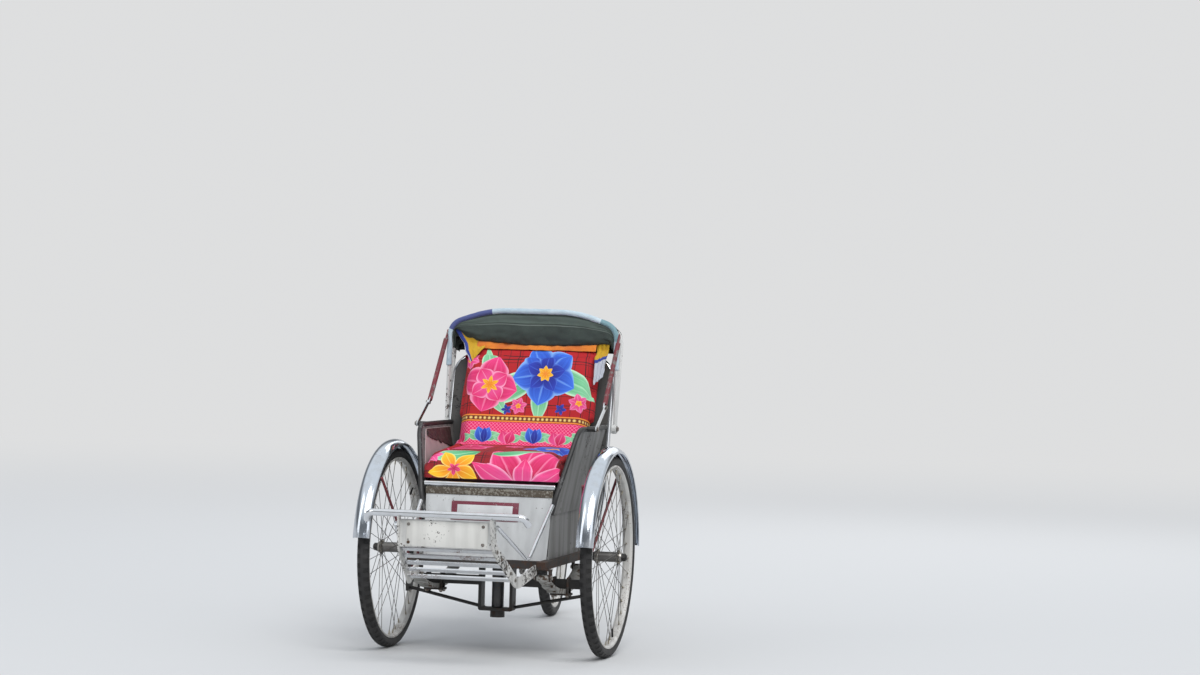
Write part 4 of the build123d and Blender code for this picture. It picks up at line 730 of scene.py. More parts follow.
def add_lamp(name, kind, energy, spot, back, **settings):
    """A lamp at a spot, with its back towards a direction."""
    data = bpy.data.lights.new(name, kind)
    data.energy = energy
    for key, value in settings.items():
        setattr(data, key, value)
    lamp = add_object(name, data)
    lamp.location = spot
    lamp.rotation_mode = "QUATERNION"
    lamp.rotation_quaternion = Vector(back).to_track_quat("Z", "Y")


class RICKSHAW_OT_stage(bpy.types.Operator):
    """Makes the camera, the soft light and the pale floor"""

    bl_idname = "rickshaw.stage"
    bl_label = "Stage"

    def execute(self, context):
        scene = context.scene
        heading, pitch, roll = (radians(angle) for angle in CAMERA_LOOK)
        ahead = Vector((-sin(heading) * cos(pitch), cos(heading) * cos(pitch), -sin(pitch)))
        right = ahead.cross(Vector((0, 0, 1))).normalized()
        up = right.cross(ahead)
        look = Matrix((right * cos(roll) + up * sin(roll), up * cos(roll) - right * sin(roll), -ahead))
        stand = place(sin(CAMERA_AZIMUTH) * CAMERA_DISTANCE, -cos(CAMERA_AZIMUTH) * CAMERA_DISTANCE, CAMERA_HEIGHT)
        data = bpy.data.cameras.new("camera")
        data.sensor_width = SENSOR
        data.lens = FOCAL_PIXELS / PHOTO_PIXELS * SENSOR
        data.clip_end = 200.0
        scene.camera = add_object("camera", data)
        scene.camera.matrix_world = Matrix.Translation(stand) @ look.transposed().to_4x4()

        bm = bmesh.new()
        bmesh.ops.create_circle(bm, cap_ends=True, segments=96, radius=70.0)
        mesh = bpy.data.meshes.new("floor")
        bm.to_mesh(mesh)
        bm.free()
        made, tree, shader = new_material("Studio floor")
        feed(scene.rickshaw_colours.floor, shader.inputs["Base Color"])
        feed(0.9, shader.inputs["Roughness"])
        feed(0.2, shader.inputs["Specular IOR Level"])
        reach = node(tree, "VectorMath", operation="LENGTH", in_Vector=object_place(tree))
        far = ramp(Wire(reach, "Value"), 3.0, 16.0, "SMOOTHSTEP")
        glow = read(tree, "Emission", in_Color=BACKDROP)
        fade = join(tree, "MixShader", (far * looked_at(tree), Wire(shader), glow))
        feed(fade, next(n for n in tree.nodes if n.type == "OUTPUT_MATERIAL").inputs["Surface"])
        mesh.materials.append(made)
        add_object("floor", mesh)

        add_lamp("key", "SUN", 1.9, (0, 0, 0), (0.45, -0.75, 0.95), angle=radians(35))
        for name, spot, size, energy in (
            ("left softbox", (-4.6, -5.0, 4.4), 3.0, 60.0),
            ("right softbox", (5.4, -3.4, 4.2), 3.0, 55.0),
            ("back softbox", (0.8, 5.8, 4.8), 3.4, 70.0),
        ):
            back = Vector(spot) - Vector((0, 0, 0.5))
            add_lamp(name, "AREA", energy, spot, back, shape="RECTANGLE", size=size, size_y=size * 1.6)

        scene.world = bpy.data.worlds.new("studio")
        scene.world.use_nodes = True
        tree = scene.world.node_tree
        tree.nodes.clear()
        height = axes(read(tree, "TexCoord", "Generated"))[2]
        studio = mix(ramp(height, 0.13, 0.32, "SMOOTHSTEP"), BACKDROP, (0.20, 0.21, 0.22))
        studio = mix(ramp(height, 0.42, 0.70, "SMOOTHSTEP"), studio, (0.95, 0.98, 1.0))
        sky = mix(ramp(height, 0.0, 0.55, "SMOOTHSTEP"), (0.30, 0.31, 0.32), (0.80, 0.86, 0.95))
        dim = read(tree, "Background", in_Color=sky, in_Strength=0.75)
        plain = read(tree, "Background", in_Color=studio)
        node(tree, "OutputWorld", in_Surface=join(tree, "MixShader", (looked_at(tree), dim, plain)))
        scene.view_settings.view_transform = "Standard"
        return {"FINISHED"}


# Finishes of the frame's own nodes


def stay_finish(red):
    """Red enamel on the hood stays' upper rods and chrome on the lower ones."""
    made, tree, shader = new_material("Hood stays red over chrome")
    _, y, z = axes(object_place(tree))
    upper = ramp(z + y * 0.1, 0.795, 0.80)
    paint = worn_paint(tree, Paint=red, Under=(0.25, 0.22, 0.2), Chip_Amount=0.5, Grime_Amount=0.3, Gloss=0.3)
    chrome = pitted_chrome(tree, Rust_Amount=0.4, Dull=0.15)
    feed(mix(upper, chrome[0], paint[0]), shader.inputs["Base Color"])
    for channel, low, high in zip(("Roughness", "Metallic"), chrome[1:], paint[1:]):
        feed(low + (high - low) * upper, shader.inputs[channel])
    return made


class RICKSHAW_OT_finishes(bpy.types.Operator):
    """Gives every node of the frame its finish"""

    bl_idname = "rickshaw.finishes"
    bl_label = "Finishes"

    def execute(self, context):
        red = context.scene.rickshaw_colours.stay
        # Painted: nodes, name, paint, what shows under it, chips, grime, gloss, scale of the chips and dust
        coats = (
            ("front_board hood_bows", "White enamel",
             (0.64, 0.64, 0.62), (0.07, 0.05, 0.04), 0.35, 0.35, 0.35, 90.0),
            ("footrest_sides", "Chipped white",
             (0.64, 0.63, 0.60), (0.05, 0.045, 0.042), 0.52, 0.55, 0.35, 110.0),
            ("front_panel", "Pale grey panel",
             (0.55, 0.56, 0.56), (0.12, 0.09, 0.07), 0.10, 0.30, 0.35, 120.0),
            ("side_panels seat_box", "Dull grey sides",
             (0.19, 0.19, 0.185), (0.06, 0.05, 0.045), 0.3, 0.75, 0.5, 90.0),
            # The back sheet's near-black is partly its own dark grey and partly painted shade.
            ("back_sheet", "Dark back sheet",
             (0.045, 0.046, 0.044), (0.02, 0.02, 0.02), 0.2, 0.5, 0.5, 120.0),
            ("yoke kingpin axle_beam truss_rods", "Black iron",
             (0.008, 0.0075, 0.0075), (0.04, 0.024, 0.018), 0.3, 0.15, 0.45, 60.0, 0.08),
            ("arm_rails saddle", "Black trim",
             (0.018, 0.018, 0.019), (0.14, 0.14, 0.14), 0.35, 0.2, 0.4, 60.0, 0.15),
            ("spring_fittings body_rails", "Rusty iron",
             (0.020, 0.016, 0.015), (0.058, 0.030, 0.020), 0.6, 0.5, 0.7, 60.0, 0.2),
            ("leaf_springs", "Spring steel",
             (0.36, 0.36, 0.34), (0.10, 0.065, 0.045), 0.45, 0.6, 0.42, 60.0, 0.4),
            ("mudguard_stays", "Dark red enamel", red, (0.09, 0.06, 0.05), 0.35, 0.3, 0.32),
            ("backbone seat_tube chain_stays", "Blue-black enamel",
             (0.02, 0.025, 0.035), (0.10, 0.07, 0.05), 0.35, 0.4, 0.3, 60.0, 0.35),
            ("front_rim_left front_rim_right rear_rim", "Rim paint",
             (0.62, 0.61, 0.58), (0.17, 0.10, 0.07), 0.34, 0.45, 0.35, 230.0),
        )  # fmt: skip
        bright = "seat_bar back_hoop push_bar brace_rods rear_mudguard_stays seat_stays seat_post brake_lever"
        spokes = "front_spoked_hub_left front_spoked_hub_right rear_spoked_hub"
        greasy = "rear_axle crankset chain rear_sprocket brake_plate brake_rod"
        finishes = {
            bright: plated("Bright chrome", 0.30, 0.07),
            "bumper_bar": plated("Bumper chrome", 0.22, 0.09),
            "footrest_slats": plated("Slat chrome", 0.45, 0.12, dust=0.3),
            "front_mudguards rear_mudguard": plated("Mudguard chrome", 0.33, 0.08, (0.60, 0.65, 0.72)),
            spokes: plated("Dull spokes", 0.5, 0.38, (0.15, 0.145, 0.14), 0.25),
            greasy: plated("Greasy steel", 0.5, 0.36, (0.20, 0.19, 0.18), 0.3),
            "hood_stays": stay_finish(red),
            "pedal_left pedal_right": rubber("Pedal rubber"),
        }
        finishes.update({names: painted(*values) for names, *values in coats})
        for names, finish in finishes.items():
            for name in names.split():
                NODES[name].data.materials.clear()
                NODES[name].data.materials.append(finish)
        return {"FINISHED"}


# Tyres and wheel details

# Half section of a tyre from the bead out, as (x, radius)
TYRE_HALF = [
    (0.0142, 0.3003),
    (0.0165, 0.3040),
    (0.0186, 0.3085),
    (0.0197, 0.3140),
    (0.0188, 0.3195),
    (0.0165, 0.3238),
    (0.0128, 0.3268),
    (0.0086, 0.3288),
    (0.0045, 0.3297),
    (0.0012, 0.3299),
]
BLOCKS_OUTSIDE = 0.3215  # blocks are cut outside this radius
RIB_HALF = 0.0045  # and beside this middle rib
SPOKES_EACH_WAY = 9
SPOKE_LEAN = 65.0  # degrees from a spoke's hole in the flange to its nipple
FLANGE_HOLES_R = 0.020


def make_tyre(steps):
    """A tyre about the origin, with its axle along X, ribbed and cut into blocks."""
    bm = bmesh.new()
    spin_outline(bm, TYRE_HALF + [(-x, r) for x, r in reversed(TYRE_HALF)], steps, closed=True)
    bmesh.ops.recalc_face_normals(bm, faces=bm.faces[:])
    cuts = []
    for face in bm.faces:
        x, y, z = face.calc_center_median()
        number = int((atan2(z, y) + pi) / (2 * pi) * steps)
        if hypot(y, z) > BLOCKS_OUTSIDE and abs(x) > RIB_HALF and (number + (x > 0)) % 2 == 0:
            cuts.append(face)
    bmesh.ops.inset_individual(bm, faces=cuts, thickness=0.0006, depth=-0.0014)
    return bm


def make_nipples(flange_x):
    """The nipples at the rim and the spoke heads at the flanges, where the frame's spokes begin and end."""
    bm = bmesh.new()
    step = 2 * pi / SPOKES_EACH_WAY
    for side in (1, -1):
        for way in (1, -1):
            for number in range(SPOKES_EACH_WAY):
                hole = step * number + (step / 2 if side * way < 0 else 0)
                turn = hole + radians(way * SPOKE_LEAN)
                start = Vector(
                    (side * flange_x + way * 0.0015, FLANGE_HOLES_R * cos(hole), FLANGE_HOLES_R * sin(hole))
                )
                end = Vector((side * 0.004 + way * 0.0012, RIM_INNER_R * cos(turn), RIM_INNER_R * sin(turn)))
                run = (end - start).normalized()
                add_cylinder(bm, end - run * 0.014, end, 0.0021, top=0.0026, segments=8)
                head = start + Vector((way * 0.001, 0, 0))
                add_cylinder(bm, head, head + Vector((way * 0.0022, 0, 0)), 0.0022, segments=8)
    return bm


def make_valve(turn):
    """A valve that stands in from the rim, turned by so many degrees."""
    bm = bmesh.new()
    root, cap, tip = ((0, 0, RIM_INNER_R + rise) for rise in (0.001, -0.022, -0.030))
    add_cylinder(bm, root, cap, 0.0032, segments=14, bevel=0.0004)
    add_cylinder(bm, cap, tip, 0.0042, top=0.0036, segments=14, bevel=0.0006)
    bmesh.ops.transform(bm, matrix=Matrix.Rotation(radians(turn), 4, "X"), verts=bm.verts)
    return bm


def make_hub_caps(outline):
    """Both caps of a hub."""
    bm = bmesh.new()
    for side in (1, -1):
        spin_outline(bm, [(side * x, r) for x, r in outline], 28)
    bmesh.ops.recalc_face_normals(bm, faces=bm.faces[:])
    return bm


class RICKSHAW_OT_wheels(bpy.types.Operator):
    """Makes the treaded tyres, the nipples, the spoke heads, the valves and the hub caps"""

    bl_idname = "rickshaw.wheels"
    bl_label = "Wheels"

    def execute(self, context):
        black = rubber("Tyre rubber")
        brass = plated("Nipple metal", rust=0.4, dull=0.35, metal=(0.42, 0.38, 0.30), dust=0.4)
        grease = plated("Hub cap metal", rust=0.5, dull=0.3, metal=(0.26, 0.25, 0.24), dust=0.4)
        steps = context.scene.rickshaw_sizes.tread_steps
        for name, (spot, body, plain_tyre, valve_turn, (flange_x, cap_outline)) in WHEELS.items():
            made = []
            for kind, bm, material, slot, crease in (
                ("treaded_tyre", make_tyre(steps), black, "tyre", 50),
                ("spoke_nipples", make_nipples(flange_x), brass, "spoke_steel", 38),
                ("valve", make_valve(valve_turn), black, "pedal_rubber", 38),
                ("hub_caps", make_hub_caps(cap_outline), grease, "worn_steel", 38),
            ):
                bmesh.ops.transform(bm, matrix=spot, verts=bm.verts)
                made.append(finish_piece(f"{kind}_{name}", bm, material, body, crease))
            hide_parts(plain_tyre)
            thicken(made[3], 0.0008, offset=1.0)
        return {"FINISHED"}


# Cushions

SWELL_FRAMES = 16
FLUSH = 0.001  # how far a pad keeps inside its solid's back and underside


def swell(piece, mesh, cap):
    """Blows a pad up by a short cloth simulation, by no more than cap."""
    press = piece.modifiers.new("Swell", "CLOTH")
    press.settings.use_pressure = True
    press.settings.uniform_pressure_force = 4.0
    press.settings.effector_weights.gravity = 0.0
    press.settings.quality = 4
    press.settings.mass = 0.35
    press.point_cache.frame_start = 1
    press.point_cache.frame_end = SWELL_FRAMES
    for number in range(1, SWELL_FRAMES + 1):
        bpy.context.scene.frame_set(number)
    moved = bpy.data.meshes.new_from_object(piece.evaluated_get(bpy.context.evaluated_depsgraph_get()))
    piece.modifiers.clear()
    for vertex, new in zip(mesh.vertices, moved.vertices):
        shift = new.co - vertex.co
        if shift.length > cap:
            shift = shift.normalized() * cap
        vertex.co += shift
    bpy.data.meshes.remove(moved)
    bpy.context.scene.frame_set(1)


def make_pad(name, source, cap, material, sunk):
    """A pad grown from a copy of a node's solid, and sat down towards its back by sunk."""
    mesh = NODES[source].data.copy()
    piece = add_object(name, mesh)
    bm = bmesh.new()
    bm.from_mesh(mesh)
    bmesh.ops.remove_doubles(bm, verts=bm.verts, dist=0.00005)
    bmesh.ops.recalc_face_normals(bm, faces=bm.faces)
    solid = BVHTree.FromBMesh(bm)
    low = [min(v.co[i] for v in bm.verts) for i in range(3)]
    high = [max(v.co[i] for v in bm.verts) for i in range(3)]
    middle = Vector([(a + b) / 2 for a, b in zip(low, high)])
    shrink = [1 - 2 * cap * 0.75 / (b - a) for a, b in zip(low, high)]
    for vertex in bm.verts:
        vertex.co = middle + Vector([d * s for d, s in zip(vertex.co - middle, shrink)])
    bm.to_mesh(mesh)
    bm.free()
    remesh = piece.modifiers.new("Remesh", "REMESH")
    remesh.mode = "VOXEL"
    remesh.voxel_size = 0.006
    mesh = bpy.data.meshes.new_from_object(piece.evaluated_get(bpy.context.evaluated_depsgraph_get()))
    bpy.data.objects.remove(piece)
    piece = add_object(name, mesh)
    swell(piece, mesh, cap)
    bm = bmesh.new()
    bm.from_mesh(mesh)
    for _ in range(2):
        smooth_once(bm)
    for vertex in bm.verts:
        hit, normal, _, _ = solid.find_nearest(vertex.co)
        if (normal.y > 0.7 or normal.z < -0.7) and (vertex.co - hit).dot(normal) > -FLUSH:
            vertex.co = hit - normal * FLUSH
    set_map(bm, {v: (v.co.x, v.co.z - v.co.y) for v in bm.verts})
    bm.to_mesh(mesh)
    bm.free()
    mesh.materials.clear()
    mesh.materials.append(material)
    mesh.shade_smooth()
    if sunk:
        for vertex in mesh.vertices:
            back, rise = ((vertex.co[i] - low[i]) / (high[i] - low[i]) for i in (1, 2))
            vertex.co.z -= sunk * rise * share_of(back, 0.15, 0.90)
    soft = piece.modifiers.new("Soften", "SUBSURF")
    soft.levels = soft.render_levels = 1
    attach(piece, "carriage")
    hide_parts(source)


class RICKSHAW_OT_cushions(bpy.types.Operator):
    """Makes the seat pad and the back pad"""

    bl_idname = "rickshaw.cushions"
    bl_label = "Cushions"

    def execute(self, context):
        cap = context.scene.rickshaw_sizes.pad_cap
        cover = cloth("Cushion cover", (0.10, 0.02, 0.03), (0.06, 0.012, 0.02), thread=1100.0)
        make_pad("seat_pad", "seat_cushion", cap, cover, 0.018)
        make_pad("back_pad", "back_cushion", cap, cover, 0.0)
        return {"FINISHED"}


# Blanket

# Side view of the blanket's way, from behind the back pad to the seat bar
BLANKET_ROUTE = [
    (0.402, 0.955),
    (0.403, 0.986),
    (0.386, 0.996),
    (0.362, 0.990),
    (0.246, 0.688),
    (0.226, 0.674),
    (-0.085, 0.650),
    (-0.120, 0.637),
    (-0.1345, 0.612),
    (-0.1358, 0.5670),
]
BLANKET_HALF = 0.214  # how far from the middle it turns down over the pads' sides
BLANKET_ROUND = 0.017
BLANKET_STEPS = (80, 150)


def route_point(points, share):
    """A point at a share of an open line's length, with its direction and the length."""
    runs = [(Vector(a), Vector(b)) for a, b in zip(points, points[1:])]
    total = sum((b - a).length for a, b in runs)
    left = share * total
    for a, b in runs:
        length = (b - a).length
        if left <= length + 1e-9:
            return a + (b - a) * (left / length), (b - a).normalized(), total
        left -= length
    return runs[-1][1], (runs[-1][1] - runs[-1][0]).normalized(), total


class RICKSHAW_OT_blanket(bpy.types.Operator):
    """Lays the printed blanket over the back pad and the seat pad"""

    bl_idname = "rickshaw.blanket"
    bl_label = "Blanket"

    def execute(self, context):
        sizes = context.scene.rickshaw_sizes
        graph = context.evaluated_depsgraph_get()
        joined = bmesh.new()
        for name in ("seat_pad", "back_pad"):
            soft = bpy.data.meshes.new_from_object(bpy.data.objects[name].evaluated_get(graph))
            joined.from_mesh(soft)
            bpy.data.meshes.remove(soft)
        pads = BVHTree.FromBMesh(joined)
        joined.free()
        bm = bmesh.new()
        coordinates, inward = {}, {}
        for vertex, across, up in grid_sheet(bm, *BLANKET_STEPS):
            share = 1 - up
            (y, z), way, total = route_point(BLANKET_ROUTE, share)
            wide = (across - 0.5) * sizes.blanket_width
            over = max(0.0, abs(wide) - BLANKET_HALF)
            angle = min(over / BLANKET_ROUND, pi / 2)
            x = min(abs(wide), BLANKET_HALF) + BLANKET_ROUND * sin(angle)
            drop = BLANKET_ROUND * (1 - cos(angle)) + max(0.0, over - BLANKET_ROUND * pi / 2)
            coordinates[vertex] = (wide, share * total)
            inward[vertex] = Vector((0, way.y, -way.x))
            vertex.co = place(x if wide > 0 else -x, y, z) - inward[vertex] * drop
        for _ in range(14):
            smooth_once(bm)
            for vertex in bm.verts:
                hit, normal, _, gap = pads.find_nearest(vertex.co)
                laid = hit + normal * sizes.blanket_lift
                if (vertex.co - hit).dot(normal) < sizes.blanket_lift:
                    vertex.co = laid
                elif gap < 0.014:
                    vertex.co = vertex.co.lerp(laid, 0.6)
        bm.normal_update()
        for vertex in bm.verts:
            u, v = coordinates[vertex]
            ripple = waver(u * 9, v * 7, 1.7) * 0.6 + waver(u * 22, v * 16, 5.1) * 0.3
            vertex.co += vertex.normal * (ripple + 0.5) * (0.0032 if vertex.normal.dot(inward[vertex]) > 0 else -0.0032)
        set_map(bm, coordinates)
        piece = finish_piece("seat_blanket", bm, blanket_material(), "carriage", crease=180)
        thicken(piece, 0.0022)
        return {"FINISHED"}


# Hood

ARCH_HALF = 0.293
# The arch seen from the front, as (x, height over the pivot), with the radii of its bends
ARCH = [
    (-ARCH_HALF, CANVAS_FOOT),
    (-ARCH_HALF, 0.3455),
    (-0.150, 0.3920),
    (0.150, 0.3920),
    (ARCH_HALF, 0.3455),
    (ARCH_HALF, CANVAS_FOOT),
]
ARCH_BENDS = (0.062, 0.40, 0.40, 0.062)
# Section of the folded canvas: its lean in degrees, its share of the depth under the arch, and its lift above it
FOLD_ROUTE = [
    (1.3, 0.03, 0.0), (0.7, 0.16, 0.0), (1.5, 0.30, 0.0), (0.3, 0.52, 0.0), (0.2, 0.74, 0.0), (1.3, 0.90, 0.0),
    (3.6, 0.88, 0.0), (4.6, 0.60, 0.0), (6.2, 0.12, 0.0), (8.5, 0.0, 0.006), (10.2, 0.16, 0.0), (10.8, 0.62, 0.0),
    (11.6, 0.90, 0.0), (12.8, 0.60, 0.0), (13.8, 0.14, 0.0), (16.0, 0.0, 0.006), (17.1, 0.16, 0.0),
    (17.3, 0.60, 0.0), (16.8, 1.02, 0.0),
]  # fmt: skip
FOLD_WIDTH, FOLD_DEPTH = 0.0068, 0.11  # metres of cloth for a degree of lean, and for the whole depth
FOLD_STEPS = 96
SLEEVE_FOOT = (0.2945, 0.20)
SLEEVE_SEAM = radians(200)
SLEEVE_STEPS = 160
# Corner cloths: outer and inner end of the top, inner and outer end of the foot, as (x, z), and where the tuck begins
CORNERS = {
    "left": ((0.270, 1.040), (0.222, 1.030), (0.233, 0.885), (0.262, 0.912), 0.976),
    "right": ((-0.280, 1.062), (-0.138, 1.040), (-0.190, 0.968), (-0.205, 0.948), 0.990),
}


def rounded(points, radii, count):
    """Evenly spaced points along an open line whose corners are rounded, and the line's length."""
    points = [Vector(point) for point in points]
    dense = points[:1]
    for before, corner, after, radius in zip(points, points[1:], points[2:], radii):
        back, on = before - corner, after - corner
        cut = min(radius / abs(tan(back.angle(on) / 2)), back.length * 0.49, on.length * 0.49)
        first, last = corner + back.normalized() * cut, corner + on.normalized() * cut
        for t in (number / 8 for number in range(9)):
            dense.append(first * (1 - t) ** 2 + corner * (2 * t * (1 - t)) + last * t**2)
    dense.append(points[-1])
    lengths = lengths_along(dense)
    even = []
    slot = 0
    for number in range(count + 1):
        goal = lengths[-1] * number / count
        while slot < len(lengths) - 2 and lengths[slot + 1] < goal:
            slot += 1
        run = max(lengths[slot + 1] - lengths[slot], 1e-9)
        even.append(dense[slot].lerp(dense[slot + 1], (goal - lengths[slot]) / run))
    return even, lengths[-1]


def on_bow(x, rise, lean):
    """A point in the plane of a bow that leans back by so many degrees."""
    turn = radians(lean)
    return place(x, PIVOT_Y + rise * sin(turn), PIVOT_Z + rise * cos(turn))


def canvas_lift(x):
    """How much higher the canvas's front fold hangs towards its ends, where it's drawn up."""
    right = 0.016 * share_of(-x, 0.02, 0.22) + 0.040 * share_of(-x, 0.19, 0.285) ** 1.5
    return right + 0.018 * share_of(x, 0.13, 0.27)


def make_canvas(sizes, material):
    """The canvas, folded back and forth between the bows."""
    arch, length = rounded(ARCH, ARCH_BENDS, sizes.canvas_folds)
    section = [(lean * FOLD_WIDTH, lift - down * FOLD_DEPTH) for lean, down, lift in FOLD_ROUTE]
    route, _ = rounded(section, (0.01,) * len(section), FOLD_STEPS)
    lengths = lengths_along(route)

    def spot(across, down):
        row = round(down * FOLD_STEPS)
        point, fold = arch[round(across * sizes.canvas_folds)], route[row]
        share = max(0.0, -fold.y / FOLD_DEPTH)
        lean = fold.x / FOLD_WIDTH
        wave = waver(point.x * 6, row * 0.10, 3.3) + 0.5 * waver(point.x * 15, row * 0.30, 8.8)
        wave += 0.40 * waver(point.x * 40, row * 0.40, 1.8)
        depth = max(point.y - CANVAS_FOOT, 0.004) * 0.93 + 0.010 * cos(point.x / ARCH_HALF * pi / 2)
        rise = point.y + max(0.0, fold.y) + 0.0015 + share * (wave * 0.0055 - depth)
        rise += canvas_lift(point.x) * share * (1 - share_of(lean, 1.5, 6.0))
        inset = min(share * 0.5, 0.35) * 0.030 + (0.004 if share > 0.02 else -0.003)
        inset *= share_of(abs(point.x), 0.0, 0.15)
        x = point.x - (inset if point.x > 0 else -inset)
        return on_bow(x, rise, lean + wave * 1.1 * min(1.0, share * 2)), (across * length, lengths[row])

    steps, flat = (sizes.canvas_folds, FOLD_STEPS), (length, lengths[-1])
    piece = lay_sheet("folded_canvas", steps, spot, 0.0016, material, "hood_canvas", flat, "gathered", "hood_bows")
    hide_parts("hood_canvas")


def make_sleeve(radius, material):
    """The cloth sleeve round the hood's front bow."""
    x, foot = SLEEVE_FOOT
    line, _ = rounded([(-x, foot), *ARCH[1:-1], (x, foot)], ARCH_BENDS, SLEEVE_STEPS)
    bow = [on_bow(*point, 1.0) for point in line]

    def spot(u, v):
        slot = round(u * SLEEVE_STEPS)
        ahead = (bow[min(slot + 1, SLEEVE_STEPS)] - bow[max(slot - 1, 0)]).normalized()
        side = ahead.cross(Vector((0, 1, 0))).normalized()
        angle = SLEEVE_SEAM + (0.02 + 0.96 * v) * 2 * pi
        pucker = 0.10 * waver(slot * 0.23, cos(angle), sin(angle)) + 0.05 * waver(slot * 0.9, cos(angle) * 2, 4)
        out = side * cos(angle) + ahead.cross(side) * sin(angle)
        return bow[slot] + out * radius * (1 + pucker), (v * 0.055, u * 0.90)

    steps, flat = (SLEEVE_STEPS, 14), (2 * pi * radius, lengths_along(bow)[-1])
    lay_sheet("hood_edge_sleeve", steps, spot, 0.0008, material, "hood_canvas", flat, "stretched", "hood_bows")


def make_corner_cloth(name, material):
    """A bright cloth tucked up behind one corner of the canvas."""
    *ends, tuck = CORNERS[name]
    top_out, top_in, low_in, low_out = (Vector(end) for end in ends)

    def spot(u, v):
        x, z = low_out.lerp(low_in, u).lerp(top_out.lerp(top_in, u), v)
        x += 0.0035 * abs(u - 0.5) * 2 * waver(v * 6, u * 2, 7.7)
        z += 0.0050 * (1 - v) * waver(u * 7, v * 2, 2.2)
        y = 0.349 - max(0.0, 0.990 - z) * 0.385 + 0.034 * share_of(z, tuck, tuck + 0.024)
        y += waver(u * 4, v * 3, x * 9) * 0.003 + 0.0022 * sin(u * 17 + v * 4)
        run = (1 - v) * 0.177 if name == "left" else (1 - u) * 0.090 + (1 - v) * 0.010
        return place(x, y, z), (u * 0.08, run)

    steps = [number / 30 for number in range(31)]
    wide = max(lengths_along([spot(u, v)[0] for u in steps])[-1] for v in (0.0, 0.5, 1.0))
    tall = max(lengths_along([spot(u, v)[0] for v in steps])[-1] for u in (0.0, 0.5, 1.0))
    title = f"corner_cloth_{name}"
    lay_sheet(title, (30, 40), spot, 0.0012, material, "blanket_cloth", (wide, tall), "hung", "folded_canvas")


def edge_cloth_spot(u, v):
    """A point of the crumpled cloth under the canvas, and its place on the cloth's map."""
    x = -0.196 + 0.420 * u
    crumple = waver(x * 14, v * 0.8, 4.0) + 0.5 * waver(x * 41, v * 1.5, 9.0)
    low, high = place(x, 0.366, 0.9955 + 0.0015 * crumple), place(x, 0.398, 1.017 + canvas_lift(x))
    bulge = Vector((0, -0.0045, 0.003)) * sin(v * pi) * (1 + 1.3 * crumple)
    return low.lerp(high, v) + bulge, (x, v * 0.045)


class RICKSHAW_OT_hood(bpy.types.Operator):
    """Makes the folded canvas of the hood, its edge sleeve and the bright cloths below it"""

    bl_idname = "rickshaw.hood"
    bl_label = "Hood"

    def execute(self, context):
        sizes, colours = context.scene.rickshaw_sizes, context.scene.rickshaw_colours
        faded = [(0.012, 0.034, (0.085, 0.115, 0.098)), (0.0385, 0.0405, (0.16, 0.19, 0.17))]
        look = {"thread": 1500.0, "sheen": 0.03, "folds": 3.0, "wash": 0.03, "bands": faded}
        make_canvas(sizes, cloth("Hood canvas", colours.canvas, (0.021, 0.030, 0.027), **look))

        patches = [(0.130, 0.300, (0.035, 0.055, 0.22)), (0.700, 0.800, (0.16, 0.30, 0.34))]
        sleeve = cloth(
            "Hood edge sleeve", colours.piping, (0.66, 0.74, 0.78), thread=1500.0, folds=1.2, bands=patches
        )
        make_sleeve(sizes.piping_radius, sleeve)

        stripes = [(0.078, 0.092, (0.02, 0.05, 0.30)), (0.092, 0.30, (0.50, 0.52, 0.58))]
        look = {"folds": 2.2, "wash": 0.03, "sheen": 0.08, "bands": stripes}
        bright = cloth("Striped cloth", (0.60, 0.40, 0.012), (0.55, 0.24, 0.010), **look)
        for name in CORNERS:
            make_corner_cloth(name, bright)
        orange = cloth("Orange edge cloth", (0.80, 0.24, 0.01), (0.50, 0.07, 0.008), folds=2.4, wash=0.04)
        steps, flat, slot = (120, 16), (0.42, 0.045), "blanket_cloth"
        lay_sheet("orange_edge_cloth", steps, edge_cloth_spot, 0.0012, orange, slot, flat, "gathered", "seat_blanket")
        return {"FINISHED"}


# Linings, strip and plate

SIDES = ((1, "left"), (-1, "right"))


def on_arm(side, y, z, proud):
    """A point off the inside of an arm, which leans outwards as it rises, and its place on the lining's map."""
    return place(side * (ARM_X + (z - ARM_Z) * ARM_LEAN - proud), y, z), (y, z)


def torn_spot(u, v):
    """A point of the vinyl that hangs loose inside the right arm."""
    low = 0.703 - 0.044 * u + 0.006 * waver(u * 9, 0.0, 3.1) + 0.003 * waver(u * 31, 0.0, 5.2)
    crumple = waver(u * 11, v * 2.5, 0.4) + 0.6 * waver(u * 27, v * 6, 9.1)
    return on_arm(-1, 0.004 + 0.276 * u, low + (0.7275 - low) * v, 0.0062 + 0.0024 * crumple)


def tube_mesh(points, radius):
    """The mesh of a round tube that follows points."""
    curve = bpy.data.curves.new("tube", "CURVE")
    curve.dimensions = "3D"
    spline = curve.splines.new("POLY")
    spline.points.add(len(points) - 1)
    for target, point in zip(spline.points, points):
        target.co = (*point, 1.0)
    curve.bevel_depth = radius
    curve.bevel_resolution = 4
    curve.use_fill_caps = True
    holder = bpy.data.objects.new("tube", curve)
    mesh = bpy.data.meshes.new_from_object(holder)
    bpy.data.objects.remove(holder)
    return mesh


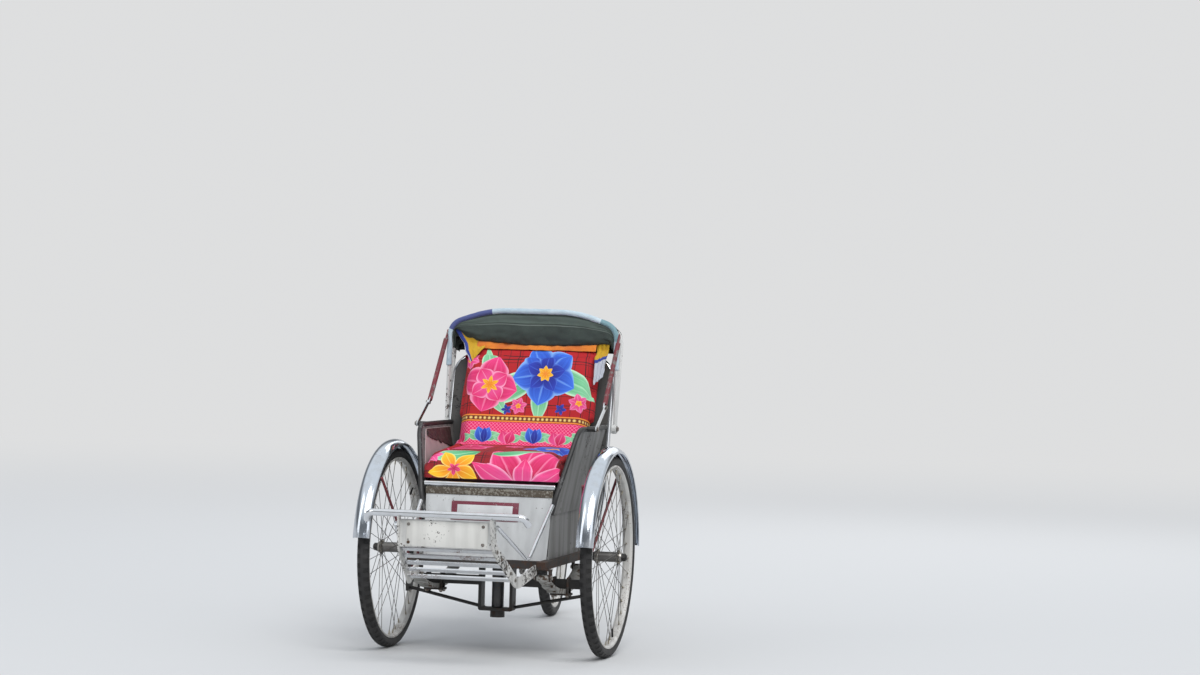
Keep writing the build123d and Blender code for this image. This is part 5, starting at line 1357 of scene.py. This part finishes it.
class RICKSHAW_OT_trim(bpy.types.Operator):
    """Makes the linings of the arms, the strip under the seat bar, the wraps and the blank label and plate"""

    bl_idname = "rickshaw.trim"
    bl_label = "Linings, strip and plate"

    def execute(self, context):
        lined = {"slot": "grey_paint", "rests_on": "side_panels"}
        # The linings' pale pinkish grey is partly the sheet's own pale colour and partly a painted reflection of the
        # red blanket.
        vinyl = painted("Pink lining", (0.42, 0.31, 0.31), (0.10, 0.07, 0.07), 0.15, 0.22, 0.45, dust=0.0)
        for side, name in SIDES:

            def spot(u, v):
                z = 0.560 + 0.168 * v
                front, back = -0.108 + 0.098 * v + 0.012 * v * v, 0.285 + (z - 0.665) * 0.238
                bulge = 0.0012 * sin(u * pi) * sin(v * pi)
                return on_arm(side, front + (back - front) * u, z, 0.0022 + bulge)

            name, flat = f"arm_lining_{name}", (0.43, 0.175)
            lay_sheet(name, (30, 16), spot, 0.0014, vinyl, flat=flat, held="stretched", **lined)
        torn = painted("Torn brown vinyl", (0.040, 0.022, 0.020), (0.20, 0.12, 0.11), 0.42, 0.3, 0.42, 55.0, 0.0)
        lay_sheet("torn_lining", (60, 18), torn_spot, 0.0012, torn, flat=(0.285, 0.055), held="hung", **lined)

        peeling = painted("Peeling strip", (0.24, 0.22, 0.18), (0.10, 0.08, 0.06), 0.78, 0.9, 0.3, 150.0, 0.0)
        border = painted("Label border", (0.16, 0.008, 0.03), (0.3, 0.25, 0.25), 0.3, 0.2, 0.35, 150.0, 0.0)
        centre = painted("Label centre", (0.60, 0.60, 0.60), (0.3, 0.2, 0.2), 0.25, 0.25, 0.35, 150.0, 0.0)
        lean = Matrix.Rotation(-asin(0.18), 4, "X")
        for name, x, z, proud, size, bevel, paint, slot in (
            ("seat_bar_strip", 0.0, 0.5345, 0.001285, (0.428, 0.0016, 0.024), 0.0006, peeling, "chrome"),
            ("panel_label", -0.010, LABEL_Z, 0.0012, (0.226, 0.0008, 0.062), 0.0002, border, "grey_paint"),
            ("label_centre", -0.010, LABEL_Z, 0.0020, (0.186, 0.0008, 0.040), 0.0002, centre, "grey_paint"),
        ):
            bm = bmesh.new()
            add_box(bm, place(x, PANEL_Y - (0.556 - z) * PANEL_LEAN - proud, z), size, bevel, lean)
            finish_piece(name, bm, paint, "carriage")

        red = context.scene.rickshaw_colours.stay
        wrap = painted("Worn red wrap", red, (0.22, 0.20, 0.19), 0.6, 0.5, 0.4, 40.0, 0.1)
        for side, name in SIDES:
            head, joint = place(side * 0.3030, 0.378, 1.050), place(side * 0.3030, *STAY_JOINT)
            run = (joint - head).normalized()
            start, end = head + run * 0.034, joint - run * 0.010
            tube = tube_mesh([start.lerp(end, number / 40) for number in range(41)], 0.0082)
            finish_piece(f"stay_wrap_{name}", tube, wrap, "carriage")

        enamel = painted("Plate enamel", (0.68, 0.67, 0.63), (0.06, 0.045, 0.04), 0.20, 0.35, 0.4, 120.0, 0.15)
        bm = bmesh.new()
        add_box(bm, place(0.004, -0.6470, 0.427), (0.262, 0.0016, 0.080), 0.0006)
        finish_piece("number_plate", bm, enamel, "carriage")
        bm = bmesh.new()
        for x in (-0.12, 0.12):
            for z in (0.399, 0.455):
                add_bolt(bm, place(x, -0.6478, z), (0, -1, 0), 0.0034, 0.0025)
        dull = painted("Dull bolts", (0.20, 0.18, 0.16), (0.10, 0.06, 0.04), chips=0.6, gloss=0.6)
        finish_piece("plate_bolts", bm, dull, "carriage")
        return {"FINISHED"}


# Fasteners


class RICKSHAW_OT_fasteners(bpy.types.Operator):
    """Makes the bolts and nuts"""

    bl_idname = "rickshaw.fasteners"
    bl_label = "Fasteners"

    def execute(self, context):
        steel = plated("Bolt steel", rust=0.7, dull=0.35, metal=(0.30, 0.28, 0.26), dust=0.4)
        bm = bmesh.new()
        for side in (1, -1):
            for number in range(5):  # along the ramp's sides
                share = (number + 0.4) / 5
                y, z = -0.634 + 0.198 * share, 0.386 - 0.122 * share
                x = 0.148 + (y + 0.652) * 0.12 + 0.0060
                add_bolt(bm, place(side * x, y, z), (side, -0.12 * side, 0), 0.0045, 0.0032)
            for edge in (1, -1):
                for y in (-0.25, 0.25):  # the springs' hangers
                    spot = place(side * (0.215 + edge * 0.0248), y, 0.272)
                    add_bolt(bm, spot, (side * edge, 0, 0), 0.0065, 0.005)
                for y in (-0.0175, 0.0175):  # under the axle
                    spot = place(side * (0.215 + edge * 0.0243), y, 0.1985)
                    add_bolt(bm, spot, (0, 0, -1), 0.0062, 0.005)
            for x, y, z, radius, height in (  # the hood stays' joints, their feet and the bows' pivots
                (0.3088, *STAY_JOINT, 0.0055, 0.004),
                (0.3088, 0.049, 0.7433, 0.0065, 0.005),
                (0.3040, PIVOT_Y, PIVOT_Z, 0.007, 0.005),
            ):
                add_bolt(bm, place(side * x, y, z), (side, 0, 0), radius, height)
        finish_piece("carriage_bolts", bm, steel, "carriage")

        bm = bmesh.new()
        for side in (1, -1):
            spot = REAR @ Vector((side * 0.0893, REAR_Y, WHEEL_R))
            add_bolt(bm, spot, REAR.to_3x3() @ Vector((side, 0, 0)), 0.0085, 0.007)
        finish_piece("rear_axle_nuts", bm, steel, "rear_frame")
        return {"FINISHED"}


class RICKSHAW_PT_panel(bpy.types.Panel):
    """Lists the rickshaw's pieces and their sizes"""

    bl_label = "Cycle rickshaw"
    bl_idname = "RICKSHAW_PT_panel"
    bl_space_type = "VIEW_3D"
    bl_region_type = "UI"
    bl_category = "Rickshaw"

    def draw(self, context):
        layout = self.layout
        for group_name in ("rickshaw_sizes", "rickshaw_colours"):
            settings = getattr(context.scene, group_name)
            for name in settings.bl_rna.properties.keys():
                if name not in ("rna_type", "name"):
                    layout.prop(settings, name)
        for operator in OPERATORS:
            layout.operator(operator.bl_idname)


OPERATORS = (
    RICKSHAW_OT_stage,
    RICKSHAW_OT_finishes,
    RICKSHAW_OT_wheels,
    RICKSHAW_OT_cushions,
    RICKSHAW_OT_blanket,
    RICKSHAW_OT_hood,
    RICKSHAW_OT_trim,
    RICKSHAW_OT_fasteners,
)
CLASSES = (RickshawSizes, RickshawColours) + OPERATORS + (RICKSHAW_PT_panel,)


def register():
    for each in CLASSES:
        bpy.utils.register_class(each)
    bpy.types.Scene.rickshaw_sizes = PointerProperty(type=RickshawSizes)
    bpy.types.Scene.rickshaw_colours = PointerProperty(type=RickshawColours)


def unregister():
    del bpy.types.Scene.rickshaw_colours
    del bpy.types.Scene.rickshaw_sizes
    for each in reversed(CLASSES):
        bpy.utils.unregister_class(each)


def main():
    register()
    bpy.ops.rickshaw.stage()
    bpy.ops.rickshaw.finishes()
    bpy.ops.rickshaw.wheels()
    bpy.ops.rickshaw.cushions()
    bpy.ops.rickshaw.blanket()
    bpy.ops.rickshaw.hood()
    bpy.ops.rickshaw.trim()
    bpy.ops.rickshaw.fasteners()


if __name__ == "__main__":
    main()
